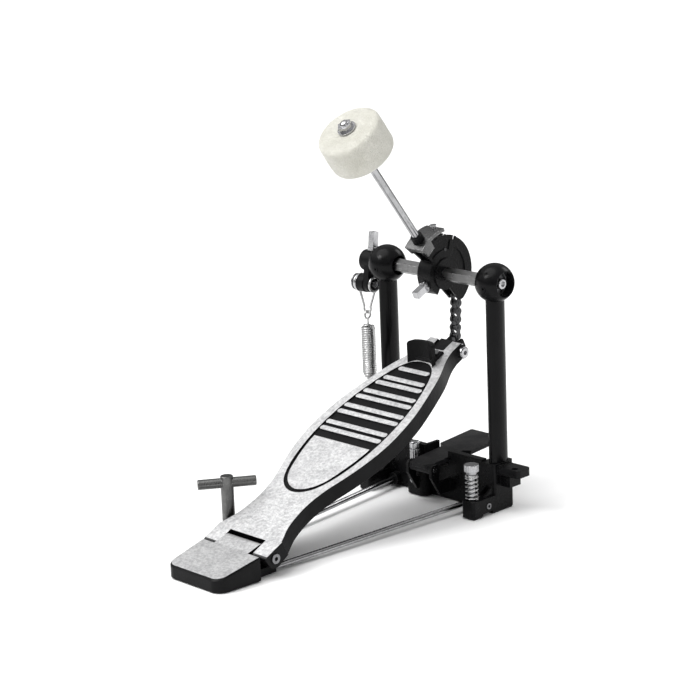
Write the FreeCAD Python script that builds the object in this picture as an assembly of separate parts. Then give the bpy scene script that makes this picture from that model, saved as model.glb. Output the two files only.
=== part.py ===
import FreeCAD, Part
import math
import os

# Bass drum pedal, millimetres.  X runs along the axle (to the right of a seated player), Y runs
# from the player towards the drum, Z is up.  The origin is on the floor below the axle's middle.

Vector = FreeCAD.Vector

# ---- driving dimensions -------------------------------------------------------------------------
AXLE_Z = 174.0              # height of the axle above the floor
POST_X = 55.0               # middle of each post
POST_HALF_X = 5.2           # half axes of a post's oval section
POST_HALF_Y = 8.8
BALL_R = 14.7               # ball-shaped bearing head on each post
BALL_FLAT = 10.7            # the head is cut flat this far from its centre
BEARING_R = 11.0            # outer radius of a 22 x 8 x 7 ball bearing
BEARING_WIDTH = 7.0
JOURNAL_R = 4.0             # round ends of the axle
SHAFT_AF = 9.5              # hexagonal axle, across flats
FIT = 0.03                  # radial clearance of a running fit

PAD_T = 1.2                 # rubber under the castings
BASE_TOP = 37.5             # top of the post brackets
WALL_TOP = 39.0             # top of the cross wall
WALL_FRONT = -9.5           # face of the cross wall on the player's side
FOOT_IN, FOOT_OUT = 46.0, 60.2
FOOT_HALF_Y = 10.5
TOE_FRONT = -34.6
TOE_TOP = 14.0
SPUR_SEAT = 33.8            # underside of the spur's head
LUG_X = 74.5                # spring lug hole
SPRING_Y = -4.0

BOARD_SLOPE = 25.3          # footboard at rest, degrees
BOARD_Y, BOARD_Z = -202.9, 23.2   # back edge of the footboard's heel window
BOARD_DEPTH = 12.0          # depth of the footboard's side wall
BOARD_SKIN = 4.0
BOARD_END = 229.0
HINGE_S, HINGE_T = -7.8, -6.3     # hinge pin in the footboard's own frame
EAR_R = 7.0
TOE_SCREW_S = 211.2         # screws of the toe stop, along the footboard
WINDOW_HALF = 18.4
EAR_OUT = 33.0

WHEEL_R = 29.0              # flanges of the chain wheel
CHAIN_R = 18.4              # pitch line of the chain on the wheel
PITCH = 6.35
BEATER_ANGLE = 126.8        # rod direction, degrees from +Y towards +Z
SADDLE_IN, SADDLE_OUT = 33.2, 35.8
SADDLE_END = 140.0          # where the saddle stops on the player's side, degrees
FELT_R, FELT_H = 24.6, 28.0
FELT_MID = 137.0            # middle of the felt head from the axle
ROD_R = 3.0
ROD_TOP = 156.0

ROCKER_R = 18.0             # rocker pin from the axle
ROCKER_ANGLE = -103.0
STIRRUP_IN = 4.6            # eye of the stirrup, wide because the linkage is opened here
RING_Z = 136.5
SPRING_TOP, SPRING_LOW = 123.0, 84.0
EYE_Z = 72.0

HEEL_FRONT, HEEL_BACK = -256.0, -219.6
ROD_HEEL = Vector(22.6, -210.0, 3.9)
ROD_BASE = Vector(43.0, -5.5, 7.4)
RADIUS_ROD_R = 2.1

SPUR_X, SPUR_Y = 53.2, -28.0
KEY_X, KEY_Y, KEY_Z = -37.2, -188.1, 21.0

CLAMP_PIVOT_Y, CLAMP_PIVOT_Z = -25.0, 27.6
CLAMP_RISE = math.tan(math.radians(4.1))
STUD_X, STUD_Y = -17.6, -14.6

# ---- small tools --------------------------------------------------------------------------------


def box(x0, x1, y0, y1, z0, z1):
    """A block between two corners."""
    return Part.makeBox(x1 - x0, y1 - y0, z1 - z0, Vector(x0, y0, z0))


def bar(start, end, radius):
    """A round bar from one point to another."""
    run = end - start
    return Part.makeCylinder(radius, run.Length, start, run)


def tube(start, end, outer, inner):
    """A round tube from one point to another."""
    return bar(start, end, outer).cut(bar(start, end, inner))


def bar_x(x0, x1, y, z, radius):
    """A round bar along X."""
    return bar(Vector(x0, y, z), Vector(x1, y, z), radius)


def many_sided(start, end, flats, sides, turn=0.0):
    """A prism with regular sides between two points; flats is its size across opposite flats."""
    run = end - start
    radius = flats / 2.0 / math.cos(math.pi / sides)
    corners = []
    for k in range(sides + 1):
        a = math.radians(turn) + 2.0 * math.pi * k / sides
        corners.append(Vector(radius * math.cos(a), radius * math.sin(a), 0))
    prism = Part.Face(Part.makePolygon(corners)).extrude(Vector(0, 0, run.Length))
    prism.Placement = FreeCAD.Placement(start, FreeCAD.Rotation(Vector(0, 0, 1), run))
    return prism


def side_profile(points, x0, x1):
    """A prism along X from (Y, Z) corners."""
    wire = Part.makePolygon([Vector(x0, y, z) for y, z in points + points[:1]])
    return Part.Face(wire).extrude(Vector(x1 - x0, 0, 0))


def polar(radius, degrees, x=0.0):
    """A point around the axle; 0 degrees is towards the drum and 90 is straight up."""
    a = math.radians(degrees)
    return Vector(x, radius * math.cos(a), AXLE_Z + radius * math.sin(a))


def sector(r0, r1, start, end, x0, x1):
    """A slice of a ring around the axle, from one angle to another."""
    def arc(radius, a, b):
        middle = polar(radius, (a + b) / 2.0, x0)
        return Part.Arc(polar(radius, a, x0), middle, polar(radius, b, x0)).toShape()
    edges = [arc(r1, start, end), Part.makeLine(polar(r1, end, x0), polar(r0, end, x0)),
             arc(r0, end, start), Part.makeLine(polar(r0, start, x0), polar(r1, start, x0))]
    return Part.Face(Part.Wire(edges)).extrude(Vector(x1 - x0, 0, 0))


def join(shapes):
    """One clean solid from overlapping shapes."""
    return shapes[0].fuse(shapes[1:]).removeSplitter()


def mirrored(shape):
    """The same shape on the other side of the pedal."""
    return shape.mirror(Vector(0, 0, 0), Vector(1, 0, 0))


def on_board(shape):
    """Carry a shape from the flat footboard frame (X, along, out of the face) to its place."""
    placed = shape.copy()
    placed.rotate(Vector(0, 0, 0), Vector(1, 0, 0), BOARD_SLOPE)
    placed.translate(Vector(0, BOARD_Y, BOARD_Z))
    return placed


def board_point(x, along, out):
    """One point of the footboard frame in the pedal's frame."""
    a = math.radians(BOARD_SLOPE)
    return Vector(x, BOARD_Y + along * math.cos(a) - out * math.sin(a),
                  BOARD_Z + along * math.sin(a) + out * math.cos(a))


def save(name, shape):
    """Write one node."""
    if not shape.isValid() or not shape.Solids:
        raise ValueError(name + " is not a valid solid")
    shape.exportStep("parts/" + name + ".step")
    print(name, len(shape.Solids), round(shape.Volume, 1))


# ---- posts, bearings and axle -------------------------------------------------------------------

def post(x, inner_flat, mouth):
    """One post: an oval bar with a bored ball head and a tenon below.

    The bearing goes in from the left, and the right side of the head has the narrower mouth.
    """
    oval = Part.Ellipse(Vector(x, 0, 0), POST_HALF_Y, POST_HALF_X)
    oval.XAxis = Vector(0, 1, 0)
    section = Part.Face(Part.Wire(oval.toShape()))
    section.translate(Vector(0, 0, BASE_TOP))
    stem = section.extrude(Vector(0, 0, AXLE_Z - 9.0 - BASE_TOP))
    head = Part.makeSphere(BALL_R, Vector(x, 0, AXLE_Z))
    head = head.common(box(x - BALL_FLAT, x + inner_flat, -20, 20, AXLE_Z - 20, AXLE_Z + 20))
    tenon = bar(Vector(x, 0, BASE_TOP - 14.0), Vector(x, 0, BASE_TOP + 1), 4.0)
    solid = join([stem, head, tenon])
    seat_end = x + BEARING_WIDTH / 2.0
    solid = solid.cut(bar_x(x - 16, seat_end, 0, AXLE_Z, BEARING_R))
    solid = solid.cut(bar_x(seat_end - 1, x + 16, 0, AXLE_Z, mouth))
    solid = solid.cut(bar(Vector(x, 0, BASE_TOP - 15), Vector(x, 0, BASE_TOP + 4), 2.5))
    screw_x = x + 1.5
    return solid.cut(bar(Vector(screw_x, -16, AXLE_Z - 2), Vector(screw_x, -8, AXLE_Z - 2), 1.9))


def head_screw(post_x):
    """Set screw in a ball head, against the bearing's outer ring."""
    x = post_x + 1.5
    z = AXLE_Z - 2
    screw = bar(Vector(x, -14.6, z), Vector(x, -11.1, z), 1.88)
    return screw.cut(many_sided(Vector(x, -14.7, z), Vector(x, -13.2, z), 1.8, 6))


def bearing(x_mid):
    """Outer ring, inner ring and balls of one bearing."""
    x0, x1 = x_mid - BEARING_WIDTH / 2.0, x_mid + BEARING_WIDTH / 2.0
    groove = Part.makeTorus(7.45, 1.35, Vector(x_mid, 0, AXLE_Z), Vector(1, 0, 0))
    outer = tube(Vector(x0, 0, AXLE_Z), Vector(x1, 0, AXLE_Z), BEARING_R - 0.01, 8.3).cut(groove)
    inner = tube(Vector(x0, 0, AXLE_Z), Vector(x1, 0, AXLE_Z), 6.6, JOURNAL_R).cut(groove)
    balls = [Part.makeSphere(1.25, polar(7.45, 360.0 * k / 9, x_mid)) for k in range(9)]
    return outer, inner, balls


def axle():
    """Hexagonal axle with round ends, the left one long enough for the spring rocker."""
    hex_end = POST_X - BEARING_WIDTH / 2.0
    hexagon = many_sided(Vector(-hex_end, 0, AXLE_Z), Vector(hex_end, 0, AXLE_Z), SHAFT_AF, 6, 0.0)
    ends = bar_x(-79.0, POST_X + 5.6, 0, AXLE_Z, JOURNAL_R)
    hole = bar_x(POST_X - 6, POST_X + 6, 0, AXLE_Z, 2.0)
    return join([hexagon, ends]).cut(hole)


def axle_screw():
    """Round-headed socket screw in the axle's right end."""
    face = POST_X + 5.6
    head = bar_x(face, face + 2.6, 0, AXLE_Z, 4.1)
    shank = bar_x(face - 10, face + 0.5, 0, AXLE_Z, 1.98)
    head = head.makeFillet(0.9, [e for e in head.Edges if abs(e.CenterOfMass.x - face - 2.6) < 0.01])
    socket = many_sided(Vector(face + 0.9, 0, AXLE_Z), Vector(face + 3, 0, AXLE_Z), 4.0, 6)
    return join([head, shank]).cut(socket)


# ---- base ---------------------------------------------------------------------------------------

def foot_bracket():
    """Right side of the base: post bracket, toe ledge with gussets, and the two spring lugs."""
    low = PAD_T
    bracket = box(FOOT_IN, FOOT_OUT, -FOOT_HALF_Y, FOOT_HALF_Y, low, BASE_TOP)
    upright = [e for e in bracket.Edges if abs(e.CenterOfMass.z - (low + BASE_TOP) / 2) < 0.1
               and e.CenterOfMass.x > FOOT_IN + 1]
    bracket = bracket.makeFillet(2.0, upright)
    toe = box(FOOT_IN + 2, FOOT_OUT, TOE_FRONT, 0, low, TOE_TOP)
    toe = toe.makeFillet(2.5, [e for e in toe.Edges if abs(e.CenterOfMass.y - TOE_FRONT) < 0.1
                               and abs(e.CenterOfMass.z - (low + TOE_TOP) / 2) < 0.1])
    pieces = [bracket, toe]
    gusset = [(-20, TOE_TOP - 0.5), (-9, TOE_TOP - 0.5), (-9, 20.5), (-10.5, 20.5)]
    for x in (FOOT_IN + 3.0, FOOT_OUT - 4.2):
        pieces.append(side_profile(gusset, x, x + 2.0))
    upper = box(FOOT_OUT - 2, LUG_X + 6.5, SPRING_Y - 3.5, SPRING_Y + 10.5, 30.0, 36.0)
    upper = upper.makeFillet(2.5, [e for e in upper.Edges if abs(e.CenterOfMass.z - 33.0) < 0.1
                                   and e.CenterOfMass.x > LUG_X])
    lower = box(FOOT_OUT - 2, FOOT_OUT + 9.3, SPRING_Y, 8.0, 20.0, 28.0)
    pieces += [upper, lower]
    solid = join(pieces)
    solid = solid.cut(box(FOOT_IN - 1, FOOT_OUT + 1, -24.0, -13.0, low - 1, low + 1.8))
    solid = solid.cut(bar(Vector(LUG_X, SPRING_Y, 29), Vector(LUG_X, SPRING_Y, 37), 2.6))
    solid = solid.cut(bar(Vector(POST_X, 0, 0), Vector(POST_X, 0, BASE_TOP + 1), 2.6))
    solid = solid.cut(bar(Vector(POST_X, 0, BASE_TOP - 14.2), Vector(POST_X, 0, BASE_TOP + 1), 4.02))
    solid = solid.cut(bar(Vector(POST_X, 0, 0), Vector(POST_X, 0, 7), 5.0))
    solid = solid.cut(bar(Vector(SPUR_X, SPUR_Y, 0), Vector(SPUR_X, SPUR_Y, 20), 2.6))
    return solid.cut(bar(Vector(FOOT_OUT + 1, -17.5, 7.4), Vector(FOOT_OUT - 8, -17.5, 7.4), 2.4))


def base_frame():
    """The whole base casting: cross wall, both feet, lower clamp jaw, stud boss and pivot arms."""
    low = PAD_T
    right = foot_bracket()
    wall = box(-FOOT_IN - 1, FOOT_IN + 1, WALL_FRONT, WALL_FRONT + 5, low, WALL_TOP)
    flange = box(-FOOT_IN - 1, FOOT_IN + 1, WALL_FRONT + 4, 10.0, low, 6.5)
    jaw = box(-17, 17, WALL_FRONT + 4, 32.0, 13.0, 20.0)
    ribs = [box(x, x + 4, WALL_FRONT + 4, 28.0, low, 14.0) for x in (-16, 12)]
    boss = box(STUD_X - 8, STUD_X + 13, -18.5, WALL_FRONT + 1, low, 20.0)
    boss = boss.makeFillet(5.5, [e for e in boss.Edges if abs(e.CenterOfMass.y + 18.5) < 0.1
                                 and abs(e.CenterOfMass.z - (low + 20.0) / 2) < 0.1])
    arm = side_profile([(WALL_FRONT + 1, 7.0), (WALL_FRONT + 1, 17.0), (-20.8, 17.0), (-20.8, 29.5),
                        (-23.0, 31.6), (-27.0, 31.6), (-29.2, 29.5), (-29.2, 22.0), (-20.0, 7.0)],
                       10.8, 13.2)
    cheek = box(-15.4, -12.8, WALL_FRONT + 4, 8.0, 19.0, WALL_TOP - 0.5)
    rod_axis = (ROD_BASE - ROD_HEEL).normalize()
    rod_boss = bar(ROD_BASE - rod_axis * 9.5, ROD_BASE + rod_axis * 3.0, 4.6)
    solid = join([wall, flange, jaw, boss, arm, mirrored(arm), cheek, right, mirrored(right),
                  rod_boss, mirrored(rod_boss)] + ribs)
    solid = solid.cut(box(-12.2, 12.2, WALL_FRONT - 1, WALL_FRONT + 6, 26.5, WALL_TOP + 1))
    solid = solid.cut(bar_x(-20, 20, CLAMP_PIVOT_Y, CLAMP_PIVOT_Z, 2.0))
    solid = solid.cut(bar(Vector(STUD_X, STUD_Y, 6), Vector(STUD_X, STUD_Y, 21), 2.2))
    solid = solid.cut(bar(Vector(STUD_X, -19, 12), Vector(STUD_X, -17.2, 12), 2.0))
    solid = solid.cut(bar(Vector(14.5, 6.0, 12), Vector(14.5, 6.0, 21), 1.6))
    blind = bar(ROD_HEEL, ROD_BASE, RADIUS_ROD_R)
    return solid.cut(blind).cut(mirrored(blind))


def radius_rod():
    """Right thin rod that ties the base to the heel plate."""
    return bar(ROD_HEEL, ROD_BASE, RADIUS_ROD_R)


def post_bolt():
    """Bolt from below that holds the right post."""
    head = many_sided(Vector(POST_X, 0, 3.2), Vector(POST_X, 0, 7.0), 7.6, 6)
    shank = bar(Vector(POST_X, 0, 6.5), Vector(POST_X, 0, BASE_TOP + 3), 2.45)
    return join([head, shank])


def base_pads():
    """Rubber pads under both feet and under the middle of the cross wall."""
    right = box(FOOT_IN + 3, FOOT_OUT - 1, TOE_FRONT + 2, -24.4, 0, PAD_T)
    right = right.cut(bar(Vector(SPUR_X, SPUR_Y, -1), Vector(SPUR_X, SPUR_Y, 3), 3.0))
    back = box(FOOT_IN + 2, FOOT_OUT - 1, -12.4, 9.5, 0, PAD_T)
    middle = box(-28, 28, -8.0, 9.0, 0, PAD_T)
    return [right, back, mirrored(right), mirrored(back), middle]


def foot_screw():
    """Set screw in the outer face of the right foot."""
    screw = bar(Vector(FOOT_OUT - 7.8, -17.5, 7.4), Vector(FOOT_OUT + 0.4, -17.5, 7.4), 2.38)
    socket = many_sided(Vector(FOOT_OUT - 2, -17.5, 7.4), Vector(FOOT_OUT + 1, -17.5, 7.4), 2.2, 6)
    return screw.cut(socket)


def spur_bolt():
    """Right spur: a pointed screw with a knurled head."""
    head = bar(Vector(SPUR_X, SPUR_Y, SPUR_SEAT + 2.4), Vector(SPUR_X, SPUR_Y, 41.4), 5.5)
    head = head.makeFillet(0.5, [e for e in head.Edges if e.Closed and e.CenterOfMass.z > 41])
    for k in range(24):
        a = 2.0 * math.pi * k / 24
        x, y = SPUR_X + 5.75 * math.cos(a), SPUR_Y + 5.75 * math.sin(a)
        head = head.cut(bar(Vector(x, y, 31), Vector(x, y, 44), 0.55))
    shank = bar(Vector(SPUR_X, SPUR_Y, 8.0), Vector(SPUR_X, SPUR_Y, SPUR_SEAT + 3.0), 2.5)
    tip = Part.makeCone(0.4, 2.5, 6.0, Vector(SPUR_X, SPUR_Y, 2.1), Vector(0, 0, 1))
    collar = Part.makeCone(4.0, 4.8, 2.6, Vector(SPUR_X, SPUR_Y, SPUR_SEAT), Vector(0, 0, 1))
    return join([head, shank, tip, collar])


def spur_spring():
    """Room that the right spur's compression spring takes between the toe ledge and the head."""
    return tube(Vector(SPUR_X, SPUR_Y, TOE_TOP + 0.05), Vector(SPUR_X, SPUR_Y, SPUR_SEAT - 0.1), 5.2, 3.0)


# ---- hoop clamp ---------------------------------------------------------------------------------

def clamp_height(y):
    """Top of the clamp plate at a place along Y."""
    return 34.9 + CLAMP_RISE * (y - 16.0)


def clamp_plate():
    """Upper jaw: a wide plate towards the drum, a narrow tongue to its pivot, and a low ear."""
    top = [(-29.5, clamp_height(-29.5)), (48.0, clamp_height(48.0))]
    profile = top + [(48.0, clamp_height(48.0) - 3.2), (-29.5, clamp_height(-29.5) - 3.2)]
    slab = side_profile(profile, -16, 16)
    plan = [(-10.2, -25), (-6.0, -29.5), (6.0, -29.5), (10.2, -25), (10.2, 9), (16, 12), (16, 47.2),
            (15.2, 48), (-15.2, 48), (-16, 47.2), (-16, 12), (-10.2, 9)]
    outline = Part.Face(Part.makePolygon([Vector(x, y, 0) for x, y in plan + plan[:1]]))
    slab = slab.common(outline.extrude(Vector(0, 0, 60)))
    knuckle = bar_x(-10.2, 10.2, CLAMP_PIVOT_Y, CLAMP_PIVOT_Z, 3.8)
    web = box(-12.4, -8.5, STUD_Y - 4.6, STUD_Y + 4.0, 20.5, 31.5)
    ear = box(STUD_X - 4.6, -8.5, STUD_Y - 4.6, STUD_Y + 4.0, 20.5, 23.5)
    lip = box(-14, 14, 44.8, 48.0, 31.0, 35.5)
    solid = join([slab, knuckle, web, ear, lip])
    solid = solid.cut(bar_x(-20, 20, CLAMP_PIVOT_Y, CLAMP_PIVOT_Z, 2.0 + FIT))
    return solid.cut(bar(Vector(STUD_X, STUD_Y, 19), Vector(STUD_X, STUD_Y, 25), 3.5))


def clamp_nut():
    """Fluted hand nut with a domed cap, bored for the stud."""
    sleeve = bar(Vector(STUD_X, STUD_Y, 23.8), Vector(STUD_X, STUD_Y, 36.4), 3.9)
    for k in range(12):
        a = 2.0 * math.pi * k / 12
        x, y = STUD_X + 4.3 * math.cos(a), STUD_Y + 4.3 * math.sin(a)
        sleeve = sleeve.cut(bar(Vector(x, y, 25.2), Vector(x, y, 38), 0.75))
    neck = bar(Vector(STUD_X, STUD_Y, 36), Vector(STUD_X, STUD_Y, 38), 3.0)
    cap = bar(Vector(STUD_X, STUD_Y, 37.6), Vector(STUD_X, STUD_Y, 42.6), 4.0)
    cap = cap.makeFillet(1.6, [e for e in cap.Edges if abs(e.CenterOfMass.z - 42.6) < 0.01])
    bore = bar(Vector(STUD_X, STUD_Y, 20), Vector(STUD_X, STUD_Y, 40.5), 2.22)
    return join([sleeve, neck, cap]).cut(bore)


# ---- heel plate and footboard -------------------------------------------------------------------

def rounded_plan(corners, z0, z1, radius):
    """An upright prism from plan corners, the first two of which are rounded."""
    wire = Part.makePolygon([Vector(x, y, z0) for x, y in corners + corners[:1]])
    prism = Part.Face(wire).extrude(Vector(0, 0, z1 - z0))
    edges = []
    for x, y in corners[:2]:
        edges += [e for e in prism.Edges
                  if abs(e.CenterOfMass.x - x) < 0.1 and abs(e.CenterOfMass.y - y) < 0.1]
    return prism.makeFillet(radius, edges)


def heel_plate():
    """Wedge-shaped heel plate with the hinge knuckle between the footboard's ears."""
    pin = board_point(0, HINGE_S, HINGE_T)
    plan = [(-28.0, HEEL_FRONT), (28.0, HEEL_FRONT), (30.6, HEEL_BACK), (-30.6, HEEL_BACK)]
    block = rounded_plan(plan, PAD_T, 30.0, 9.0)
    wedge = side_profile([(HEEL_FRONT - 1, PAD_T), (HEEL_FRONT - 1, 10.2), (HEEL_BACK + 1, 18.2),
                          (HEEL_BACK + 1, PAD_T)], -40, 40)
    block = block.common(wedge)
    rim = [e for e in block.Edges if e.CenterOfMass.z > 10.5 and e.CenterOfMass.y < HEEL_BACK - 1]
    block = block.makeChamfer(1.2, rim)
    tongue = side_profile([(HEEL_BACK - 2, PAD_T), (HEEL_BACK - 2, 17.3), (pin.y - 1.5, pin.z + 6.83),
                           (pin.y, pin.z + 6.0), (pin.y + 5.0, pin.z), (pin.y + 5.0, PAD_T)], -17.6, 17.6)
    knuckle = bar_x(-17.6, 17.6, pin.y, pin.z, 7.0)
    foot = box(-25.6, 25.6, HEEL_BACK - 2, pin.y + 6.5, PAD_T, 6.6)
    solid = join([block, tongue, knuckle, foot])
    solid = solid.cut(bar_x(-20, 20, pin.y, pin.z, 2.5))
    blind = bar(ROD_HEEL, ROD_BASE, RADIUS_ROD_R)
    return solid.cut(blind).cut(mirrored(blind))


def hinge_pin():
    """Pin through the heel knuckle and both ears, with socketed ends."""
    pin = board_point(0, HINGE_S, HINGE_T)
    solid = join([bar_x(-EAR_OUT, EAR_OUT, pin.y, pin.z, 2.5),
                  bar_x(EAR_OUT - 2.0, EAR_OUT + 0.6, pin.y, pin.z, 3.6),
                  bar_x(-EAR_OUT - 0.6, -EAR_OUT + 2.0, pin.y, pin.z, 3.6)])
    for side in (-1, 1):
        end = Vector(side * (EAR_OUT + 1), pin.y, pin.z)
        solid = solid.cut(many_sided(end, end - Vector(side * 3.5, 0, 0), 3.0, 6))
    return solid


# Half widths of the footboard along its length.
OUTLINE = [(-4, 32.6), (5, 31.0), (13, 27.3), (25, 24.3), (37, 23.4), (48, 24.4), (60, 27.3),
           (72, 31.6), (84, 35.3), (94, 37.7), (104, 39.4), (117, 40.4), (131, 39.9), (142, 38.8),
           (152, 37.0), (162, 34.6), (172, 31.9), (182, 29.0), (192, 25.6), (200, 21.9), (208, 18.4),
           (216, 16.2), (BOARD_END, 15.8)]
# Half widths of the sunk oval panel.
PANEL = [(48.0, 0.0), (49.6, 7.5), (55.5, 15.8), (66, 22.4), (84, 28.3), (101, 31.3), (116, 32.4),
         (131, 32.1), (149, 30.1), (162, 27.5), (174, 24.1), (184, 20.6), (192, 16.6), (198.4, 10.6),
         (201.3, 0.0)]
PANEL_DEPTH = 1.2
PANEL_LINE = 3.2            # width of the sunk line around the plain field
FIELD_TOP = 104.5
# Place and half length of each raised tread bar.
TREAD = [(190.0, 15.6), (178.0, 20.8), (171.3, 23.4), (160.4, 26.6), (153.2, 28.2), (141.8, 30.2),
         (134.3, 30.8), (121.5, 31.2), (114.2, 31.0)]
TREAD_W = 4.3


def leaf(stations, inset, bottom, top, start=None, end=None):
    """A plate whose half width follows the stations, less an inset."""
    first = stations[0][0] if start is None else start
    last = stations[-1][0] if end is None else end
    rows = [(s, w - inset) for s, w in stations if first <= s <= last]
    right = Part.BSplineCurve()
    right.interpolate([Vector(w, s, bottom) for s, w in rows])
    left = Part.BSplineCurve()
    left.interpolate([Vector(-w, s, bottom) for s, w in rows])
    edges = [right.toShape(), left.toShape()]
    for s, w in (rows[0], rows[-1]):
        if w > 0.01:
            edges.append(Part.makeLine(Vector(-w, s, bottom), Vector(w, s, bottom)))
    wire = Part.Wire(Part.__sortEdges__(edges))
    return Part.Face(wire).extrude(Vector(0, 0, top - bottom))


def slot_bar(s, half, width, bottom, top):
    """A rounded bar across the footboard."""
    r = width / 2.0
    middle = box(-half + r, half - r, s - r, s + r, bottom, top)
    ends = [bar(Vector(x, s, bottom), Vector(x, s, top), r) for x in (-half + r, half - r)]
    return join([middle] + ends)


def footboard():
    """Hollow-backed footboard casting, in its own flat frame, then put in place."""
    body = leaf(OUTLINE, 0.0, -BOARD_DEPTH, 0.0)
    pocket = leaf(OUTLINE, 3.2, -BOARD_DEPTH - 1, -BOARD_SKIN, 13, 208)
    ribs = [box(-50, 50, s - 1.3, s + 1.3, -BOARD_DEPTH + 3, -BOARD_SKIN + 1) for s in (50, 90, 130, 170)]
    spine = box(-1.3, 1.3, 10, 210, -BOARD_DEPTH + 3, -BOARD_SKIN + 1)
    pocket = pocket.cut(join(ribs + [spine]))
    body = body.cut(pocket)
    tongue = side_profile([(3, 0), (-13.4, 0), (-15.2, -0.6), (-15.7, -2.2), (-14.8, -6.3), (-7.8, -13.3),
                           (3, -BOARD_DEPTH)], WINDOW_HALF, EAR_OUT - 0.4)
    knuckle = bar(Vector(WINDOW_HALF, HINGE_S, HINGE_T), Vector(EAR_OUT - 0.4, HINGE_S, HINGE_T), EAR_R)
    ear = join([tongue, knuckle.cut(box(0, 60, -30, 10, -0.1, 5))])
    prong = box(7.3, 15.8, 216, BOARD_END, -BOARD_DEPTH, 0)
    nose = bar(Vector(7.3, 227.0, -6.6), Vector(15.8, 227.0, -6.6), 5.4)
    body = join([body, ear, mirrored(ear), prong, mirrored(prong), nose, mirrored(nose)])
    body = body.cut(box(-WINDOW_HALF, WINDOW_HALF, -30, 0, -20, 5))
    body = body.cut(box(-7.3, 7.3, 217.5, 240, -20, 5))
    sunk = leaf(PANEL, 0.0, -PANEL_DEPTH, 1.0)
    inner = [(48.0 + PANEL_LINE, 0.0), (52.9, 6.6), (57.6, 13.6), (66, 19.4), (75, 22.6), (84, 25.2),
             (93, 27.2), (FIELD_TOP, 28.7)]
    field = leaf(inner, 0.0, -PANEL_DEPTH - 1, 1.0)
    raised = [field] + [slot_bar(s, half, TREAD_W, -PANEL_DEPTH - 1, 1.0) for s, half in TREAD]
    for piece in raised:
        sunk = sunk.cut(piece)
    body = body.cut(sunk)
    for side in (-1, 1):
        bush = Vector(side * (WINDOW_HALF - 1), HINGE_S, HINGE_T)
        body = body.cut(bar(bush, Vector(side * (EAR_OUT - 2.2), HINGE_S, HINGE_T), 4.0))
        body = body.cut(bar(bush, Vector(side * (EAR_OUT + 1), HINGE_S, HINGE_T), 3.8))
        body = body.cut(bar(Vector(side * 4, 226.5, -6.6), Vector(side * 17, 226.5, -6.6), 2.05))
        body = body.cut(bar(Vector(side * 6.0, TOE_SCREW_S, -5), Vector(side * 6.0, TOE_SCREW_S, 1), 1.5))
    return on_board(body)


def hinge_bushes():
    """Nylon bushes in the two ears."""
    inner_end = Vector(WINDOW_HALF + 0.1, HINGE_S, HINGE_T)
    right = tube(inner_end, Vector(EAR_OUT - 2.3, HINGE_S, HINGE_T), 4.0, 2.5 + FIT)
    return [on_board(right), on_board(mirrored(right))]


def toe_stop():
    """Curved stop for the toe, on a flat flange."""
    centre = Vector(0, 203.6 - 16.0, 0)
    wall = tube(centre - Vector(0, 0, 6.0), centre + Vector(0, 0, 18.0), 19.4, 16.4)
    crown = [(-12.6, -6), (-12.6, 13.0), (-11.8, 14.6), (-9.6, 15.2), (9.6, 15.2), (11.8, 14.6),
             (12.6, 13.0), (12.6, -6)]
    cap = Part.Face(Part.makePolygon([Vector(x, 190, z) for x, z in crown + crown[:1]]))
    wall = wall.common(cap.extrude(Vector(0, 30, 0)))
    wall.rotate(Vector(0, 203.0, 1.0), Vector(1, 0, 0), -24.0)
    wall = wall.common(box(-20, 20, 180, 230, 0.02, 30))
    flange = box(-10.5, 10.5, 202.0, 214.6, 0.02, 2.0)
    solid = join([wall, flange])
    for side in (-1, 1):
        solid = solid.cut(bar(Vector(side * 6.0, TOE_SCREW_S, -1), Vector(side * 6.0, TOE_SCREW_S, 3), 1.5))
        solid = solid.cut(bar(Vector(side * 6.0, TOE_SCREW_S, 2.0), Vector(side * 6.0, TOE_SCREW_S, 5), 2.9))
    return on_board(solid)


def toe_stop_screws():
    """Two countersunk screws through the toe stop's flange."""
    made = []
    for side in (-1, 1):
        low = Vector(side * 6.0, TOE_SCREW_S, -4.0)
        made.append(on_board(join([bar(low, low + Vector(0, 0, 6.2), 1.48),
                                   bar(low + Vector(0, 0, 6.02), low + Vector(0, 0, 7.4), 2.6)])))
    return made


def chain_end():
    """Place of the chain's lowest pin, ahead of the fork."""
    return board_point(0, 236.4, -9.1)


def chain_block():
    """Block in the fork's slot, with two cheeks for the chain's lowest pin."""
    core = box(-7.1, 7.1, 219.0, 231.5, -11.5, -1.6)
    core = core.cut(bar(Vector(-9, 226.5, -6.6), Vector(9, 226.5, -6.6), 2.05))
    cheeks = [box(x, x + 2.4, 230.5, 239.6, -12.2, -5.6) for x in (-7.1, 4.7)]
    solid = join([core] + cheeks)
    return on_board(solid.cut(bar(Vector(-9, 236.4, -9.1), Vector(9, 236.4, -9.1), 1.15)))


def fork_bolt():
    """Cross bolt through fork and block, with a round socketed head on the right."""
    shank = bar(Vector(-19.6, 226.5, -6.6), Vector(16.0, 226.5, -6.6), 2.0)
    head = bar(Vector(15.9, 226.5, -6.6), Vector(19.6, 226.5, -6.6), 4.6)
    head = head.makeFillet(1.2, [e for e in head.Edges if abs(e.CenterOfMass.x - 19.6) < 0.01])
    socket = many_sided(Vector(17.6, 226.5, -6.6), Vector(20, 226.5, -6.6), 3.4, 6)
    return on_board(join([shank, head]).cut(socket))


def fork_nut():
    """Nut on the left end of the cross bolt."""
    nut = many_sided(Vector(-19.0, 226.5, -6.6), Vector(-15.9, 226.5, -6.6), 7.0, 6)
    return on_board(nut.cut(bar(Vector(-21, 226.5, -6.6), Vector(-10, 226.5, -6.6), 2.0)))


# ---- chain --------------------------------------------------------------------------------------

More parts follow.
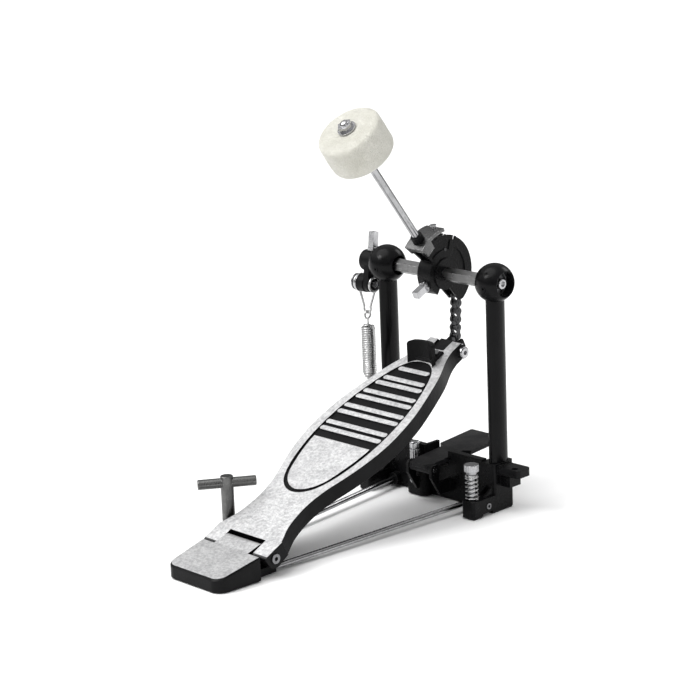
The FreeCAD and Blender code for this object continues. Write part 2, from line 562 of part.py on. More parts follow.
def link_plate(a, b, x, thickness=0.75):
    """One waisted chain plate between two pins."""
    step = Vector(thickness, 0, 0)
    ends = [bar(Vector(x, p.y, p.z), Vector(x, p.y, p.z) + step, 2.85) for p in (a, b)]
    run = (b - a)
    side = Vector(0, -run.z, run.y).normalize() * 1.9
    corners = [Vector(x, a.y, a.z) + side, Vector(x, b.y, b.z) + side, Vector(x, b.y, b.z) - side,
               Vector(x, a.y, a.z) - side]
    waist = Part.Face(Part.makePolygon(corners + corners[:1])).extrude(step)
    return join(ends + [waist])


def chain_links(pins, first_inner):
    """Inner links (plates and rollers) and outer links (plates and pins) along a row of pins."""
    inner, outer = [], []
    for k in range(len(pins) - 1):
        a, b = pins[k], pins[k + 1]
        if (k % 2 == 0) == first_inner:
            link = [link_plate(a, b, 1.75), link_plate(a, b, -2.5)]
            link += [bar_x(-1.9, 1.9, p.y, p.z, 1.65) for p in (a, b)]
            holes = [bar_x(-4, 4, p.y, p.z, 1.15 + FIT) for p in (a, b)]
            inner.append(join(link).cut(holes[0]).cut(holes[1]))
        else:
            link = [link_plate(a, b, 2.7), link_plate(a, b, -3.45)]
            link += [bar_x(-3.85, 3.85, p.y, p.z, 1.15) for p in (a, b)]
            outer.append(join(link))
    return inner, outer


def chain_run():
    """Free run of chain from its lowest pin up between the wheel's flanges."""
    low = chain_end()
    touch = math.hypot(low.y, AXLE_Z - low.z)
    lean = math.asin(CHAIN_R / touch) - math.atan2(low.y, AXLE_Z - low.z)
    step = Vector(0, math.sin(lean), math.cos(lean)) * PITCH
    return chain_links([low + step * k for k in range(12)], True)


def wheel_links():
    """The last link, held on the wheel by its anchor pin."""
    turn = math.degrees(2.0 * math.asin(PITCH / 2.0 / CHAIN_R))
    return chain_links([polar(CHAIN_R, 88.0), polar(CHAIN_R, 88.0 - turn)], True)[0]


# ---- chain wheel and beater ---------------------------------------------------------------------

def flange_face(x0, x1, radius):
    """Wheel flange: a round rim that ends in a pointed lobe beside the chain."""
    tip = -50.0
    arc = Part.Arc(polar(radius, 66.0, x0), polar(radius, 8.0, x0), polar(radius, tip, x0)).toShape()
    corners = [polar(radius, tip, x0), Vector(x0, 15.0, AXLE_Z - 23.0), Vector(x0, 8.0, AXLE_Z - 15.6),
               Vector(x0, 0, AXLE_Z - 6), Vector(x0, 0, AXLE_Z + 6), polar(radius - 3, 66.0, x0),
               polar(radius, 66.0, x0)]
    edges = [arc] + [Part.makeLine(corners[k], corners[k + 1]) for k in range(len(corners) - 1)]
    return Part.Face(Part.Wire(Part.__sortEdges__(edges))).extrude(Vector(x1 - x0, 0, 0))


def cam_wheel():
    """Chain wheel: hub on the axle, two flanges, and the arc that the beater saddle sits on."""
    hub = bar_x(-8.0, 7.0, 0, AXLE_Z, 12.0)
    core = sector(0.5, 14.8, -58, 120, -4.5, 4.5)
    pieces = [hub, core]
    for x0, x1 in ((4.4, 5.9), (-5.9, -4.4)):
        pieces.append(flange_face(x0, x1, WHEEL_R))
    pieces.append(sector(8.0, 29.4, 64, 140, -5.9, 5.9))
    pieces.append(sector(0.5, 17.0, 118, 238, -7.0, 6.0))
    pieces.append(bar(polar(6.0, -155.0), polar(16.6, -155.0), 5.2))
    solid = join(pieces)
    solid = solid.cut(sector(14.8, 32.0, -64, 98, -4.4, 4.4))
    solid = solid.cut(sector(18.0, 31.0, 106.5, 147.0, -3.5, 3.5))
    for x0, x1 in ((5.1, 8.0), (-8.0, -5.1)):
        solid = solid.cut(sector(13.0, 21.5, -28, 62, x0, x1))
        solid = solid.cut(sector(18.5, 26.0, 76, 134, x0, x1))
    solid = solid.cut(sector(26.5, 32.0, 66.5, 71.0, -6.5, 6.5))
    for k in range(5):
        tooth = polar(30.0, 74.0 + 4.0 * k)
        solid = solid.cut(bar_x(-8, 8, tooth.y, tooth.z, 1.0))
    solid = solid.cut(many_sided(Vector(-10, 0, AXLE_Z), Vector(10, 0, AXLE_Z), SHAFT_AF + 0.04, 6, 0.0))
    anchor = polar(CHAIN_R, 88.0)
    solid = solid.cut(bar_x(-8, 8, anchor.y, anchor.z, 1.15))
    return solid.cut(bar(polar(4.0, -155.0), polar(18.0, -155.0), 2.6))


def key_bolt(start, end_r, angle, x):
    """Square-headed bolt with a collar, pointing away from the axle at an angle."""
    shank = bar(polar(5.6, angle, x), polar(start + 0.5, angle, x), 2.55)
    collar = bar(polar(start, angle, x), polar(start + 2.2, angle, x), 4.3)
    head = many_sided(polar(start + 2.0, angle, x), polar(end_r, angle, x), 5.4, 4, 45.0)
    return join([shank, collar, head])


def beater_saddle():
    """Silver saddle over the wheel's arc, with side flanges at its front."""
    plate = sector(SADDLE_IN, SADDLE_OUT, 95, SADDLE_END, -9.0, 9.0)
    cheeks = [sector(26.6, SADDLE_IN + 0.5, 122, SADDLE_END, x, x + 1.7) for x in (-9.0, 7.3)]
    lip = sector(31.0, SADDLE_IN + 0.5, SADDLE_END - 2.0, SADDLE_END, -9.0, 9.0)
    solid = join([plate] + cheeks + [lip])
    solid = solid.cut(bar(polar(30, BEATER_ANGLE), polar(40, BEATER_ANGLE), 4.7))
    return solid.cut(bar(polar(30, 99.0), polar(40, 99.0), 1.5))


def rod_holder():
    """Black block under the saddle with the collar that grips the rod."""
    block = sector(30.3, SADDLE_IN, 114, SADDLE_END - 2.5, -7.0, 7.0)
    collar = bar(polar(31, BEATER_ANGLE), polar(40.5, BEATER_ANGLE), 4.6)
    return join([block, collar]).cut(bar(polar(28.0, BEATER_ANGLE), polar(42, BEATER_ANGLE), ROD_R))


def beater_rod():
    """Chrome rod from its holder to the nut above the felt."""
    return bar(polar(31.0, BEATER_ANGLE), polar(ROD_TOP - 1.5, BEATER_ANGLE), ROD_R - FIT)


def felt_head():
    """Round felt head with soft edges."""
    low, high = polar(FELT_MID - FELT_H / 2, BEATER_ANGLE), polar(FELT_MID + FELT_H / 2, BEATER_ANGLE)
    body = bar(low, high, FELT_R)
    body = body.makeFillet(3.4, [e for e in body.Edges if e.Closed and e.Length > 100])
    return body.cut(bar(polar(100, BEATER_ANGLE), polar(170, BEATER_ANGLE), ROD_R))


def felt_washers():
    """Washers on both faces of the felt."""
    made = []
    for start in (FELT_MID - FELT_H / 2 - 1.2, FELT_MID + FELT_H / 2):
        made.append(tube(polar(start, BEATER_ANGLE), polar(start + 1.2, BEATER_ANGLE), 7.0, ROD_R))
    return made


def felt_nuts():
    """Hexagonal nuts on both washers."""
    made = []
    for start in (FELT_MID - FELT_H / 2 - 4.8, FELT_MID + FELT_H / 2 + 1.2):
        nut = many_sided(polar(start, BEATER_ANGLE), polar(start + 3.6, BEATER_ANGLE), 9.6, 6, 10.0)
        made.append(nut.cut(bar(polar(start - 1, BEATER_ANGLE), polar(start + 5, BEATER_ANGLE), ROD_R)))
    return made


# ---- spring side --------------------------------------------------------------------------------

def rocker_pin_place():
    """Rocker pin at rest."""
    return polar(ROCKER_R, ROCKER_ANGLE)


def spring_rocker():
    """Hub outside the left bearing with an arm down to the spring's pin."""
    pin = rocker_pin_place()
    hub = bar_x(-77.8, -66.0, 0, AXLE_Z, 8.2)
    boss = bar_x(-72.4, -68.0, pin.y, pin.z, 6.4)
    a = math.radians(ROCKER_ANGLE)
    across = Vector(0, -math.sin(a), math.cos(a))
    web = [Vector(-72.4, 0, AXLE_Z) + across * 7.4, Vector(-72.4, pin.y, pin.z) + across * 6.2,
           Vector(-72.4, pin.y, pin.z) - across * 6.2, Vector(-72.4, 0, AXLE_Z) - across * 7.4]
    arm = Part.Face(Part.makePolygon(web + web[:1])).extrude(Vector(5.2, 0, 0))
    solid = join([hub, boss, arm])
    solid = solid.cut(bar_x(-80, -60, 0, AXLE_Z, JOURNAL_R)).cut(bar_x(-90, -60, pin.y, pin.z, 2.5))
    return solid.cut(bar(polar(3.0, 84.0, -71.0), polar(12, 84.0, -71.0), 2.6))


def rocker_pin():
    """Pin of the roller, with a thin head outside the stirrup."""
    pin = rocker_pin_place()
    return join([bar_x(-84.6, -64.9, pin.y, pin.z, 2.5), bar_x(-85.2, -84.2, pin.y, pin.z, 6.6)])


def rocker_roller():
    """Roller and its chrome side disc."""
    pin = rocker_pin_place()
    roller = tube(Vector(-79.2, pin.y, pin.z), Vector(-72.7, pin.y, pin.z), 6.9, 2.5)
    disc = tube(Vector(-80.6, pin.y, pin.z), Vector(-79.3, pin.y, pin.z), 7.4, 2.5)
    return roller, disc


def stirrup():
    """Wire stirrup: two eyes round the pin, two legs and a ring for the spring."""
    pin = rocker_pin_place()
    wire = 0.95
    middle = -LUG_X
    ring = Part.makeTorus(3.6, wire, Vector(middle, pin.y, RING_Z), Vector(0, 1, 0))
    pieces = [ring]
    for eye_x, foot_x in ((-82.6, middle - 3.6), (-66.0, middle + 3.6)):
        eye = tube(Vector(eye_x - 0.7, pin.y, pin.z), Vector(eye_x + 0.7, pin.y, pin.z),
                   STIRRUP_IN + 1.5, STIRRUP_IN)
        leg = bar(Vector(eye_x, pin.y, pin.z - STIRRUP_IN - 0.8), Vector(foot_x, pin.y, RING_Z), wire)
        pieces += [eye, leg]
    return join(pieces)


def return_spring():
    """Room that the extension spring takes, with its tapered lower end and both hooks."""
    x, y = -LUG_X, SPRING_Y
    coil = bar(Vector(x, y, SPRING_LOW), Vector(x, y, SPRING_TOP), 5.6)
    taper = Part.makeCone(2.0, 5.6, 6.0, Vector(x, y, SPRING_LOW - 6.0), Vector(0, 0, 1))
    hooks = [bar(Vector(x, y, SPRING_TOP - 1), Vector(x, y, RING_Z - 4.8), 0.9),
             bar(Vector(x, y, EYE_Z + 5.5), Vector(x, y, SPRING_LOW - 5), 0.9),
             bar_x(x - 3.2, x + 3.2, y, EYE_Z, 0.8),
             box(x - 3.2, x + 3.2, y - 0.8, y + 0.8, EYE_Z + 4.8, EYE_Z + 6.2)]
    for side in (-1, 1):
        hooks.append(bar(Vector(x + side * 2.4, y, EYE_Z), Vector(x + side * 2.4, y, EYE_Z + 6.0), 0.8))
    return join([coil, taper] + hooks)


def tension_bolt():
    """Eye bolt in the left lug that pulls the spring down."""
    x, y = -LUG_X, SPRING_Y
    eye = Part.makeTorus(3.2, 1.1, Vector(x, y, EYE_Z), Vector(1, 0, 0))
    return join([eye, bar(Vector(x, y, 17.0), Vector(x, y, EYE_Z - 2.9), 2.2)])


def tension_nut(z0, z1, flats):
    """One nut on the tension bolt."""
    x, y = -LUG_X, SPRING_Y
    nut = many_sided(Vector(x, y, z0), Vector(x, y, z1), flats, 6)
    return nut.cut(bar(Vector(x, y, z0 - 1), Vector(x, y, z1 + 1), 2.2 + FIT))


# ---- drum key -----------------------------------------------------------------------------------

def drum_key():
    """T-shaped key with a square socket."""
    foot = Vector(KEY_X, KEY_Y, KEY_Z)
    stem = bar(foot, foot + Vector(0, 0, 34.3), 4.7)
    stem = stem.makeFillet(0.8, [e for e in stem.Edges if e.Closed])
    a = math.radians(55.0)
    reach = Vector(math.cos(a), math.sin(a), 0) * 21.2
    middle = foot + Vector(0, 0, 29.0)
    cross = bar(middle - reach, middle + reach, 3.7)
    cross = cross.makeFillet(0.8, [e for e in cross.Edges if e.Closed])
    socket = many_sided(foot - Vector(0, 0, 1), foot + Vector(0, 0, 12), 5.7, 4, 45.0)
    return join([stem, cross]).cut(socket)


def key_holder():
    """Clip on the left radius rod with the square peg that the key stands on."""
    along = (ROD_BASE - ROD_HEEL)
    place = ROD_HEEL + along * ((KEY_Y - ROD_HEEL.y) / along.y)
    x = -place.x
    block = box(x - 4.6, x + 4.2, KEY_Y - 4.5, KEY_Y + 4.5, place.z - 2.7, 9.6)
    arm = box(KEY_X - 3.6, x, KEY_Y - 3.6, KEY_Y + 3.6, 6.6, 9.6)
    neck = box(KEY_X - 3.6, KEY_X + 3.6, KEY_Y - 3.6, KEY_Y + 3.6, 6.6, KEY_Z - 0.3)
    peg = box(KEY_X - 2.7, KEY_X + 2.7, KEY_Y - 2.7, KEY_Y + 2.7, KEY_Z - 1, KEY_Z + 8.0)
    solid = join([block, arm, neck, peg])
    return solid.cut(mirrored(bar(ROD_HEEL, ROD_BASE, RADIUS_ROD_R)))


# ---- all nodes ----------------------------------------------------------------------------------

def build():
    """Make every node."""
    os.makedirs("parts", exist_ok=True)
    group = Part.makeCompound
    save("base_frame", base_frame())
    save("post_right", post(POST_X, BALL_FLAT, 9.3))
    save("post_left", post(-POST_X, BALL_R, 7.4))
    save("post_bolts", group([post_bolt(), mirrored(post_bolt())]))
    save("base_pads", group(base_pads()))
    save("foot_screws", group([foot_screw(), mirrored(foot_screw())]))
    save("bearing_screws", group([head_screw(POST_X), head_screw(-POST_X)]))
    outer, inner, balls = [], [], []
    for side in (-1, 1):
        ring, bush, round_balls = bearing(side * POST_X)
        outer.append(ring)
        inner.append(bush)
        balls += round_balls
    save("bearing_outer_rings", group(outer))
    save("bearing_inner_rings", group(inner))
    save("bearing_balls", group(balls))
    save("radius_rod_right", radius_rod())
    save("radius_rod_left", mirrored(radius_rod()))
    save("spur_bolt_right", spur_bolt())
    save("spur_bolt_left", mirrored(spur_bolt()))
    save("spur_spring_right", spur_spring())
    save("spur_spring_left", mirrored(spur_spring()))

    save("clamp_plate", clamp_plate())
    save("clamp_pivot_pin", bar_x(-13.2, 13.2, CLAMP_PIVOT_Y, CLAMP_PIVOT_Z, 2.0))
    save("clamp_stud", bar(Vector(STUD_X, STUD_Y, 6), Vector(STUD_X, STUD_Y, 38.0), 2.19))
    save("clamp_nut", clamp_nut())
    save("clamp_pad", box(-15, 15, 12, 31.5, 20.0, 22.0))
    save("clamp_boss_screw", bar(Vector(STUD_X, -18.9, 12), Vector(STUD_X, -17.2, 12), 1.98))
    stop = Vector(14.5, 6.0, 0)
    stop_head = many_sided(stop + Vector(0, 0, 28.4), stop + Vector(0, 0, 31.6), 5.5, 6)
    stop_shank = bar(stop + Vector(0, 0, 12), stop + Vector(0, 0, 29), 1.58)
    save("clamp_stop_screw", join([stop_shank, stop_head]))

    save("heel_plate", heel_plate())
    pad = [(-26.5, HEEL_FRONT + 1.5), (26.5, HEEL_FRONT + 1.5), (29.0, HEEL_BACK - 1),
           (-29.0, HEEL_BACK - 1)]
    save("heel_pad", rounded_plan(pad, 0, PAD_T, 7.5))
    save("hinge_pin", hinge_pin())
    save("hinge_bushes", group(hinge_bushes()))
    save("footboard", footboard())
    save("toe_stop", toe_stop())
    save("toe_stop_screws", group(toe_stop_screws()))
    save("chain_block", chain_block())
    save("fork_bolt", fork_bolt())
    save("fork_nut", fork_nut())

    inner_links, outer_links = chain_run()
    save("chain_inner_links", group(inner_links))
    save("chain_outer_links", group(outer_links))
    low = chain_end()
    save("chain_lower_pin", bar_x(-7.1, 7.1, low.y, low.z, 1.15))
    save("chain_wheel_link", group(wheel_links()))
    anchor = polar(CHAIN_R, 88.0)
    save("chain_anchor_pin", bar_x(-5.9, 5.9, anchor.y, anchor.z, 1.15))

    save("axle", axle())
    save("axle_screw", axle_screw())
    save("cam_wheel", cam_wheel())
    save("hub_key_bolt", key_bolt(17.15, 29.6, -155.0, 0.0))
    save("beater_saddle", beater_saddle())
    save("rod_holder", rod_holder())
    screw = [bar(polar(31.5, 99.0), polar(36, 99.0), 1.5), bar(polar(35.8, 99.0), polar(38, 99.0), 2.7)]
    save("saddle_screw", join(screw))
    save("beater_rod", beater_rod())
    save("felt_head", felt_head())
    save("felt_washers", group(felt_washers()))
    save("felt_nuts", group(felt_nuts()))

    save("spring_rocker", spring_rocker())
    save("rocker_key_bolt", key_bolt(8.2, 22.5, 84.0, -71.0))
    save("rocker_pin", rocker_pin())
    roller, disc = rocker_roller()
    save("rocker_roller", roller)
    save("roller_disc", disc)
    save("spring_stirrup", stirrup())
    save("return_spring", return_spring())
    save("tension_bolt", tension_bolt())
    save("tension_nut_upper", tension_nut(36.3, 39.9, 8.0))
    save("tension_nut_lower", tension_nut(25.9, 30.0, 7.0))

    save("key_holder", key_holder())
    save("drum_key", drum_key())


build()
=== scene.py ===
"""Finishes and detail pieces of a bass drum pedal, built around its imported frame.

X runs along the axle to the player's right, Y from the player towards the drum and Z up, in metres.
"""

import logging
import math
from dataclasses import dataclass, field
from enum import Enum

import bpy
import numpy as np
from mathutils import Matrix, Vector

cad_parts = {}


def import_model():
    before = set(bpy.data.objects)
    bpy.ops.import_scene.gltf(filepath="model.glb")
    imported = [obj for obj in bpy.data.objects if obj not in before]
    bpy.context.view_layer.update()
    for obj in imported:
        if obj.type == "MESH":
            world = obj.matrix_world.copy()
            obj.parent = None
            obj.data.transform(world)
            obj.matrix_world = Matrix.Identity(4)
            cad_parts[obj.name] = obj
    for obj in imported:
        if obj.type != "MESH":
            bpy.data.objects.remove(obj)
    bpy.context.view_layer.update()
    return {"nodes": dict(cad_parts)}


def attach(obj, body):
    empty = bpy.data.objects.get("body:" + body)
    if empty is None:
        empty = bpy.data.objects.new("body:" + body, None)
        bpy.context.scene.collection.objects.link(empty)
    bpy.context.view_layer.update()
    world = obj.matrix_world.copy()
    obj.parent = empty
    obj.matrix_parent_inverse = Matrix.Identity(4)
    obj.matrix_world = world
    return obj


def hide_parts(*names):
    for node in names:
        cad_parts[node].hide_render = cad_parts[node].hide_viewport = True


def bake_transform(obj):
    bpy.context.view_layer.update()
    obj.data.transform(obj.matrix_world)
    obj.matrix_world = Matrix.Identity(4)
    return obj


LOG = logging.getLogger("drum_pedal")
MM = 0.001
Triple = tuple[float, float, float]
AXLE_Z = 174.0
ROD_DEGREES = 126.8
BOARD_DEGREES = 25.3


class Side(Enum):
    """Which side of the player a doubled piece is on."""

    LEFT = -1
    RIGHT = 1


class Grain(Enum):
    """Direction of a metal's lines, as how far each coordinate is squeezed: brushing marks on most metals,
    painted reflection streaks on the chrome rods.
    """

    ALONG_X = (0.04, 1.0, 1.0)
    ALONG_Z = (1.0, 1.0, 0.04)


# ---------------------------------------------------------------------------------------------
# Shader graphs and the effects that several finishes share
# ---------------------------------------------------------------------------------------------


class Graph:
    """Adds nodes to one node tree and joins their sockets."""

    def __init__(self, tree: bpy.types.NodeTree) -> None:
        """Keeps the tree.

        Args:
            tree: The node tree that nodes are added to.
        """
        self.tree = tree

    def add(self, kind: str, inputs: dict | None = None, **settings: object) -> bpy.types.Node:
        """Adds one node.

        Args:
            kind: The node's type, without the word ShaderNode.
            inputs: Socket names or numbers, each with a value or with another node's output.
            **settings: Attributes of the node, such as its operation.

        Returns:
            The new node.
        """
        prefix = "" if kind.startswith("Node") else "ShaderNode"
        node = self.tree.nodes.new(prefix + kind)
        for name, value in settings.items():
            setattr(node, name, value)
        for key, value in (inputs or {}).items():
            if isinstance(value, bpy.types.NodeSocket):
                self.tree.links.new(value, node.inputs[key])
            else:
                node.inputs[key].default_value = value
        return node

    def calc(self, operation: str, *values: object) -> bpy.types.NodeSocket:
        """Adds a Math node on up to three values and returns its result."""
        return self.add("Math", dict(enumerate(values)), operation=operation).outputs[0]

    def spread(self, value: bpy.types.NodeSocket, low: float, high: float,
               to_low: float = 0.0, to_high: float = 1.0) -> bpy.types.NodeSocket:
        """Carries a range of values smoothly to another range.

        Args:
            value: The value to carry over.
            low: Where the first range starts.
            high: Where the first range ends.
            to_low: The result at low.
            to_high: The result at high.

        Returns:
            The result's socket.
        """
        inputs = {0: value, 1: low, 2: high, 3: to_low, 4: to_high}
        return self.add("MapRange", inputs, interpolation_type="SMOOTHSTEP").outputs[0]

    def blend(self, amount: object, first: object, second: object) -> bpy.types.NodeSocket:
        """Mixes two colours and returns the mixed colour's socket."""
        colours = [c if isinstance(c, bpy.types.NodeSocket) else (*c, 1.0) for c in (first, second)]
        return self.add("Mix", {0: amount, 6: colours[0], 7: colours[1]}, data_type="RGBA").outputs[2]


def start_group(name: str, inputs: dict[str, tuple[str, object]], outputs: dict[str, str]) -> tuple:
    """Starts a shared effect with named inputs and outputs.

    Args:
        name: The effect's name.
        inputs: Each input's name with its socket kind and usual value.
        outputs: Each output's name with its socket kind.

    Returns:
        The node tree, its graph, the inputs' node and the outputs' node.
    """
    tree = bpy.data.node_groups.new(name, "ShaderNodeTree")
    for label, (kind, value) in inputs.items():
        socket = tree.interface.new_socket(label, in_out="INPUT", socket_type="NodeSocket" + kind)
        socket.default_value = value
    for label, kind in outputs.items():
        tree.interface.new_socket(label, in_out="OUTPUT", socket_type="NodeSocket" + kind)
    graph = Graph(tree)
    return tree, graph, graph.add("NodeGroupInput"), graph.add("NodeGroupOutput")


@dataclass
class Effects:
    """The effects that more than one finish uses, each built once."""

    trees: dict[str, bpy.types.NodeTree] = field(default_factory=dict)

    def build(self) -> None:
        """Builds every effect."""
        self.trees = {"eased_edges": self.eased_edges(), "cloud": self.cloud(),
                      "brushing": self.brushing(), "dust": self.dust()}

    @staticmethod
    def eased_edges() -> bpy.types.NodeTree:
        """Rounds sharp edges in the shading, and marks the edges with a noisy mask: worn paint on the
        lacquers and castings, lighter edges on moulded parts, and a painted highlight on the plated
        metals.

        Returns:
            The effect: the eased normal, and a mask that is 1 on an edge, broken up by noise.
        """
        tree, graph, enter, leave = start_group(
            "eased_edges", {"Vector": ("Vector", (0, 0, 0)), "Radius": ("Float", 0.0005)},
            {"Normal": "Vector", "EdgeMask": "Float"})
        eased = graph.add("Bevel", {"Radius": enter.outputs["Radius"]}, samples=4)
        true = graph.add("NewGeometry").outputs["True Normal"]
        match = graph.add("VectorMath", {0: eased.outputs[0], 1: true}, operation="DOT_PRODUCT")
        edge = graph.spread(graph.calc("SUBTRACT", 1.0, match.outputs["Value"]), 0.02, 0.16)
        noise = graph.add("TexNoise", {"Vector": enter.outputs["Vector"], "Scale": 420.0, "Detail": 4.0})
        broken = graph.spread(noise.outputs[0], 0.42, 0.66)
        graph.tree.links.new(eased.outputs[0], leave.inputs["Normal"])
        graph.tree.links.new(graph.calc("MULTIPLY", edge, broken), leave.inputs["EdgeMask"])
        return tree

    @staticmethod
    def cloud() -> bpy.types.NodeTree:
        """Soft uneven patches: noise at one scale, carried to a range of values.

        Returns:
            The effect, which puts out one value.
        """
        tree, graph, enter, leave = start_group(
            "cloud", {"Vector": ("Vector", (0, 0, 0)), "Scale": ("Float", 100.0), "Detail": ("Float", 4.0),
                      "Low": ("Float", 0.0), "High": ("Float", 1.0)}, {"Value": "Float"})
        noise = graph.add("TexNoise", {"Vector": enter.outputs["Vector"], "Scale": enter.outputs["Scale"],
                                       "Detail": enter.outputs["Detail"], "Roughness": 0.62})
        value = graph.spread(noise.outputs[0], 0.33, 0.67, enter.outputs["Low"], enter.outputs["High"])
        graph.tree.links.new(value, leave.inputs["Value"])
        return tree

    @staticmethod
    def brushing() -> bpy.types.NodeTree:
        """Fine lines along one direction: noise on coordinates that are squeezed that way.

        Returns:
            The effect, which puts out one value from 0 to 1.
        """
        tree, graph, enter, leave = start_group(
            "brushing", {"Vector": ("Vector", (0, 0, 0)), "Squeeze": ("Vector", (1, 1, 1)),
                         "Scale": ("Float", 2200.0)}, {"Value": "Float"})
        squeezed = graph.add("VectorMath", {0: enter.outputs["Vector"], 1: enter.outputs["Squeeze"]},
                             operation="MULTIPLY")
        noise = graph.add("TexNoise", {"Vector": squeezed.outputs[0], "Scale": enter.outputs["Scale"],
                                       "Detail": 3.0, "Roughness": 0.7})
        graph.tree.links.new(graph.spread(noise.outputs[0], 0.3, 0.7), leave.inputs["Value"])
        return tree

    @staticmethod
    def dust() -> bpy.types.NodeTree:
        """Dust that settles on faces that look up, thicker in some patches.

        Returns:
            The effect, which puts out a mask.
        """
        tree, graph, enter, leave = start_group(
            "dust", {"Vector": ("Vector", (0, 0, 0)), "Amount": ("Float", 0.1)}, {"Mask": "Float"})
        normal = graph.add("NewGeometry").outputs["Normal"]
        up = graph.add("SeparateXYZ", {0: normal}).outputs[2]
        noise = graph.add("TexNoise", {"Vector": enter.outputs["Vector"], "Scale": 70.0, "Detail": 6.0})
        thick = graph.spread(noise.outputs[0], 0.35, 0.75)
        patches = graph.calc("MULTIPLY", graph.spread(up, 0.4, 1.0), thick)
        mask = graph.calc("MULTIPLY", patches, enter.outputs["Amount"])
        graph.tree.links.new(mask, leave.inputs["Mask"])
        return tree

    def place(self, graph: Graph, name: str, **inputs: object) -> bpy.types.Node:
        """Places one effect in a material.

        Args:
            graph: The material's graph.
            name: The effect's name.
            **inputs: The effect's inputs.

        Returns:
            The group node.
        """
        node = graph.add("Group", node_tree=self.trees[name])
        for key, value in inputs.items():
            if isinstance(value, bpy.types.NodeSocket):
                graph.tree.links.new(value, node.inputs[key])
            else:
                node.inputs[key].default_value = value
        return node


EFFECTS = Effects()


def start_material(name: str) -> tuple[bpy.types.Material, Graph, bpy.types.Node, bpy.types.NodeSocket]:
    """Starts a finish.

    Args:
        name: The material's name.

    Returns:
        The material, its graph, its surface shader and the object coordinates.
    """
    material = bpy.data.materials.new(name)
    material.use_nodes = True
    graph = Graph(material.node_tree)
    shader = material.node_tree.nodes["Principled BSDF"]
    place = graph.add("TexCoord").outputs["Object"]
    return material, graph, shader, place


def set_bump(graph: Graph, shader: bpy.types.Node, height: bpy.types.NodeSocket,
             distance: float, normal: bpy.types.NodeSocket | None = None) -> None:
    """Gives a shader small relief.

    Args:
        graph: The material's graph.
        shader: The surface shader.
        height: The relief from 0 to 1.
        distance: How high 1 is, in metres.
        normal: The normal that the relief is added to.
    """
    inputs = {"Height": height, "Distance": distance}
    if normal is not None:
        inputs["Normal"] = normal
    graph.tree.links.new(graph.add("Bump", inputs).outputs[0], shader.inputs["Normal"])


def connect(graph: Graph, shader: bpy.types.Node, **values: object) -> None:
    """Sets a shader's sockets, where an underscore in a name stands for a space."""
    for key, value in values.items():
        socket = shader.inputs[key.replace("_", " ")]
        if isinstance(value, bpy.types.NodeSocket):
            graph.tree.links.new(value, socket)
        else:
            socket.default_value = value


@dataclass(frozen=True)
class Lacquer:
    """Black lacquer over cast or pressed metal, worn on its edges and a little dusty on top."""

    name: str
    colour: Triple = (0.0035, 0.0035, 0.0038)
    bare: Triple = (0.11, 0.11, 0.113)
    shine: tuple[float, float] = (0.24, 0.36)
    edge: float = 0.0006
    edgemask: float = 0.28
    peel: float = 0.00006
    peel_scale: float = 900.0
    dust: float = 0.02

    def build(self) -> bpy.types.Material:
        """Builds the finish and returns it."""
        material, graph, shader, place = start_material(self.name)
        eased = EFFECTS.place(graph, "eased_edges", Vector=place, Radius=self.edge)
        worn = graph.calc("MULTIPLY", eased.outputs["EdgeMask"], self.edgemask)
        dust = EFFECTS.place(graph, "dust", Vector=place, Amount=self.dust).outputs[0]
        tone = EFFECTS.place(graph, "cloud", Vector=place, Scale=60.0, Low=0.0, High=0.5).outputs[0]
        paint = graph.blend(tone, self.colour, tuple(c * 1.9 for c in self.colour))
        colour = graph.blend(dust, graph.blend(worn, paint, self.bare), (0.30, 0.29, 0.28))
        low, high = self.shine
        smear = EFFECTS.place(graph, "cloud", Vector=place, Scale=120.0, Low=low, High=high)
        rough = graph.calc("ADD", smear.outputs[0], graph.calc("MULTIPLY", dust, 1.5))
        relief = EFFECTS.place(graph, "cloud", Vector=place, Scale=self.peel_scale, Detail=2.0).outputs[0]
        connect(graph, shader, Base_Color=colour, Roughness=rough,
                Metallic=graph.calc("MULTIPLY", worn, 0.8), Specular_IOR_Level=0.10)
        set_bump(graph, shader, relief, self.peel, eased.outputs["Normal"])
        return material


@dataclass(frozen=True)
class Plate:
    """Bright plated metal with faint smears, fine scratches and softened edges, whose edges get a painted
    highlight in the rim colour; on the chrome rods the darker streaks are painted reflection.
    """

    name: str
    colour: Triple = (0.80, 0.80, 0.82)
    shade: Triple = (0.42, 0.42, 0.44)
    rim_highlight: Triple = (0.80, 0.80, 0.80)
    shine: tuple[float, float] = (0.09, 0.24)
    edge: float = 0.0003
    grain: Grain | None = None
    grain_scale: float = 2200.0
    grain_depth: float = 0.00002

    def build(self) -> bpy.types.Material:
        """Builds the finish and returns it."""
        material, graph, shader, place = start_material(self.name)
        eased = EFFECTS.place(graph, "eased_edges", Vector=place, Radius=self.edge)
        patches = EFFECTS.place(graph, "cloud", Vector=place, Scale=160.0, Detail=5.0).outputs[0]
        squeeze = self.grain.value if self.grain else (1.0, 1.0, 1.0)
        lines = EFFECTS.place(graph, "brushing", Vector=place, Squeeze=squeeze,
                              Scale=self.grain_scale).outputs[0]
        tone = graph.calc("MULTIPLY", graph.calc("ADD", patches, lines), 0.22)
        colour = graph.blend(tone, self.colour, self.shade)
        low, high = self.shine
        mixed = graph.calc("MULTIPLY", graph.calc("ADD", patches, lines), 0.5)
        # Painted highlight: the edge mask mixes each edge towards the bright rim colour, as if lit.
        connect(graph, shader, Base_Color=graph.blend(eased.outputs["EdgeMask"], colour, self.rim_highlight),
                Roughness=graph.spread(mixed, 0.0, 1.0, low, high), Metallic=1.0)
        set_bump(graph, shader, lines, self.grain_depth, eased.outputs["Normal"])
        return material


class Field(Enum):
    """Which faces of a casting are ground bright: those that look along a direction above a plane."""

    FOOTBOARD = ((0.0, -math.sin(math.radians(BOARD_DEGREES)), math.cos(math.radians(BOARD_DEGREES))),
                 (0.0, -0.2029, 0.0232), 0.965, -0.00035)
    HEEL = ((0.0, -0.204, 0.979), (0.0, -0.256, 0.0104), 0.95, -0.0045)


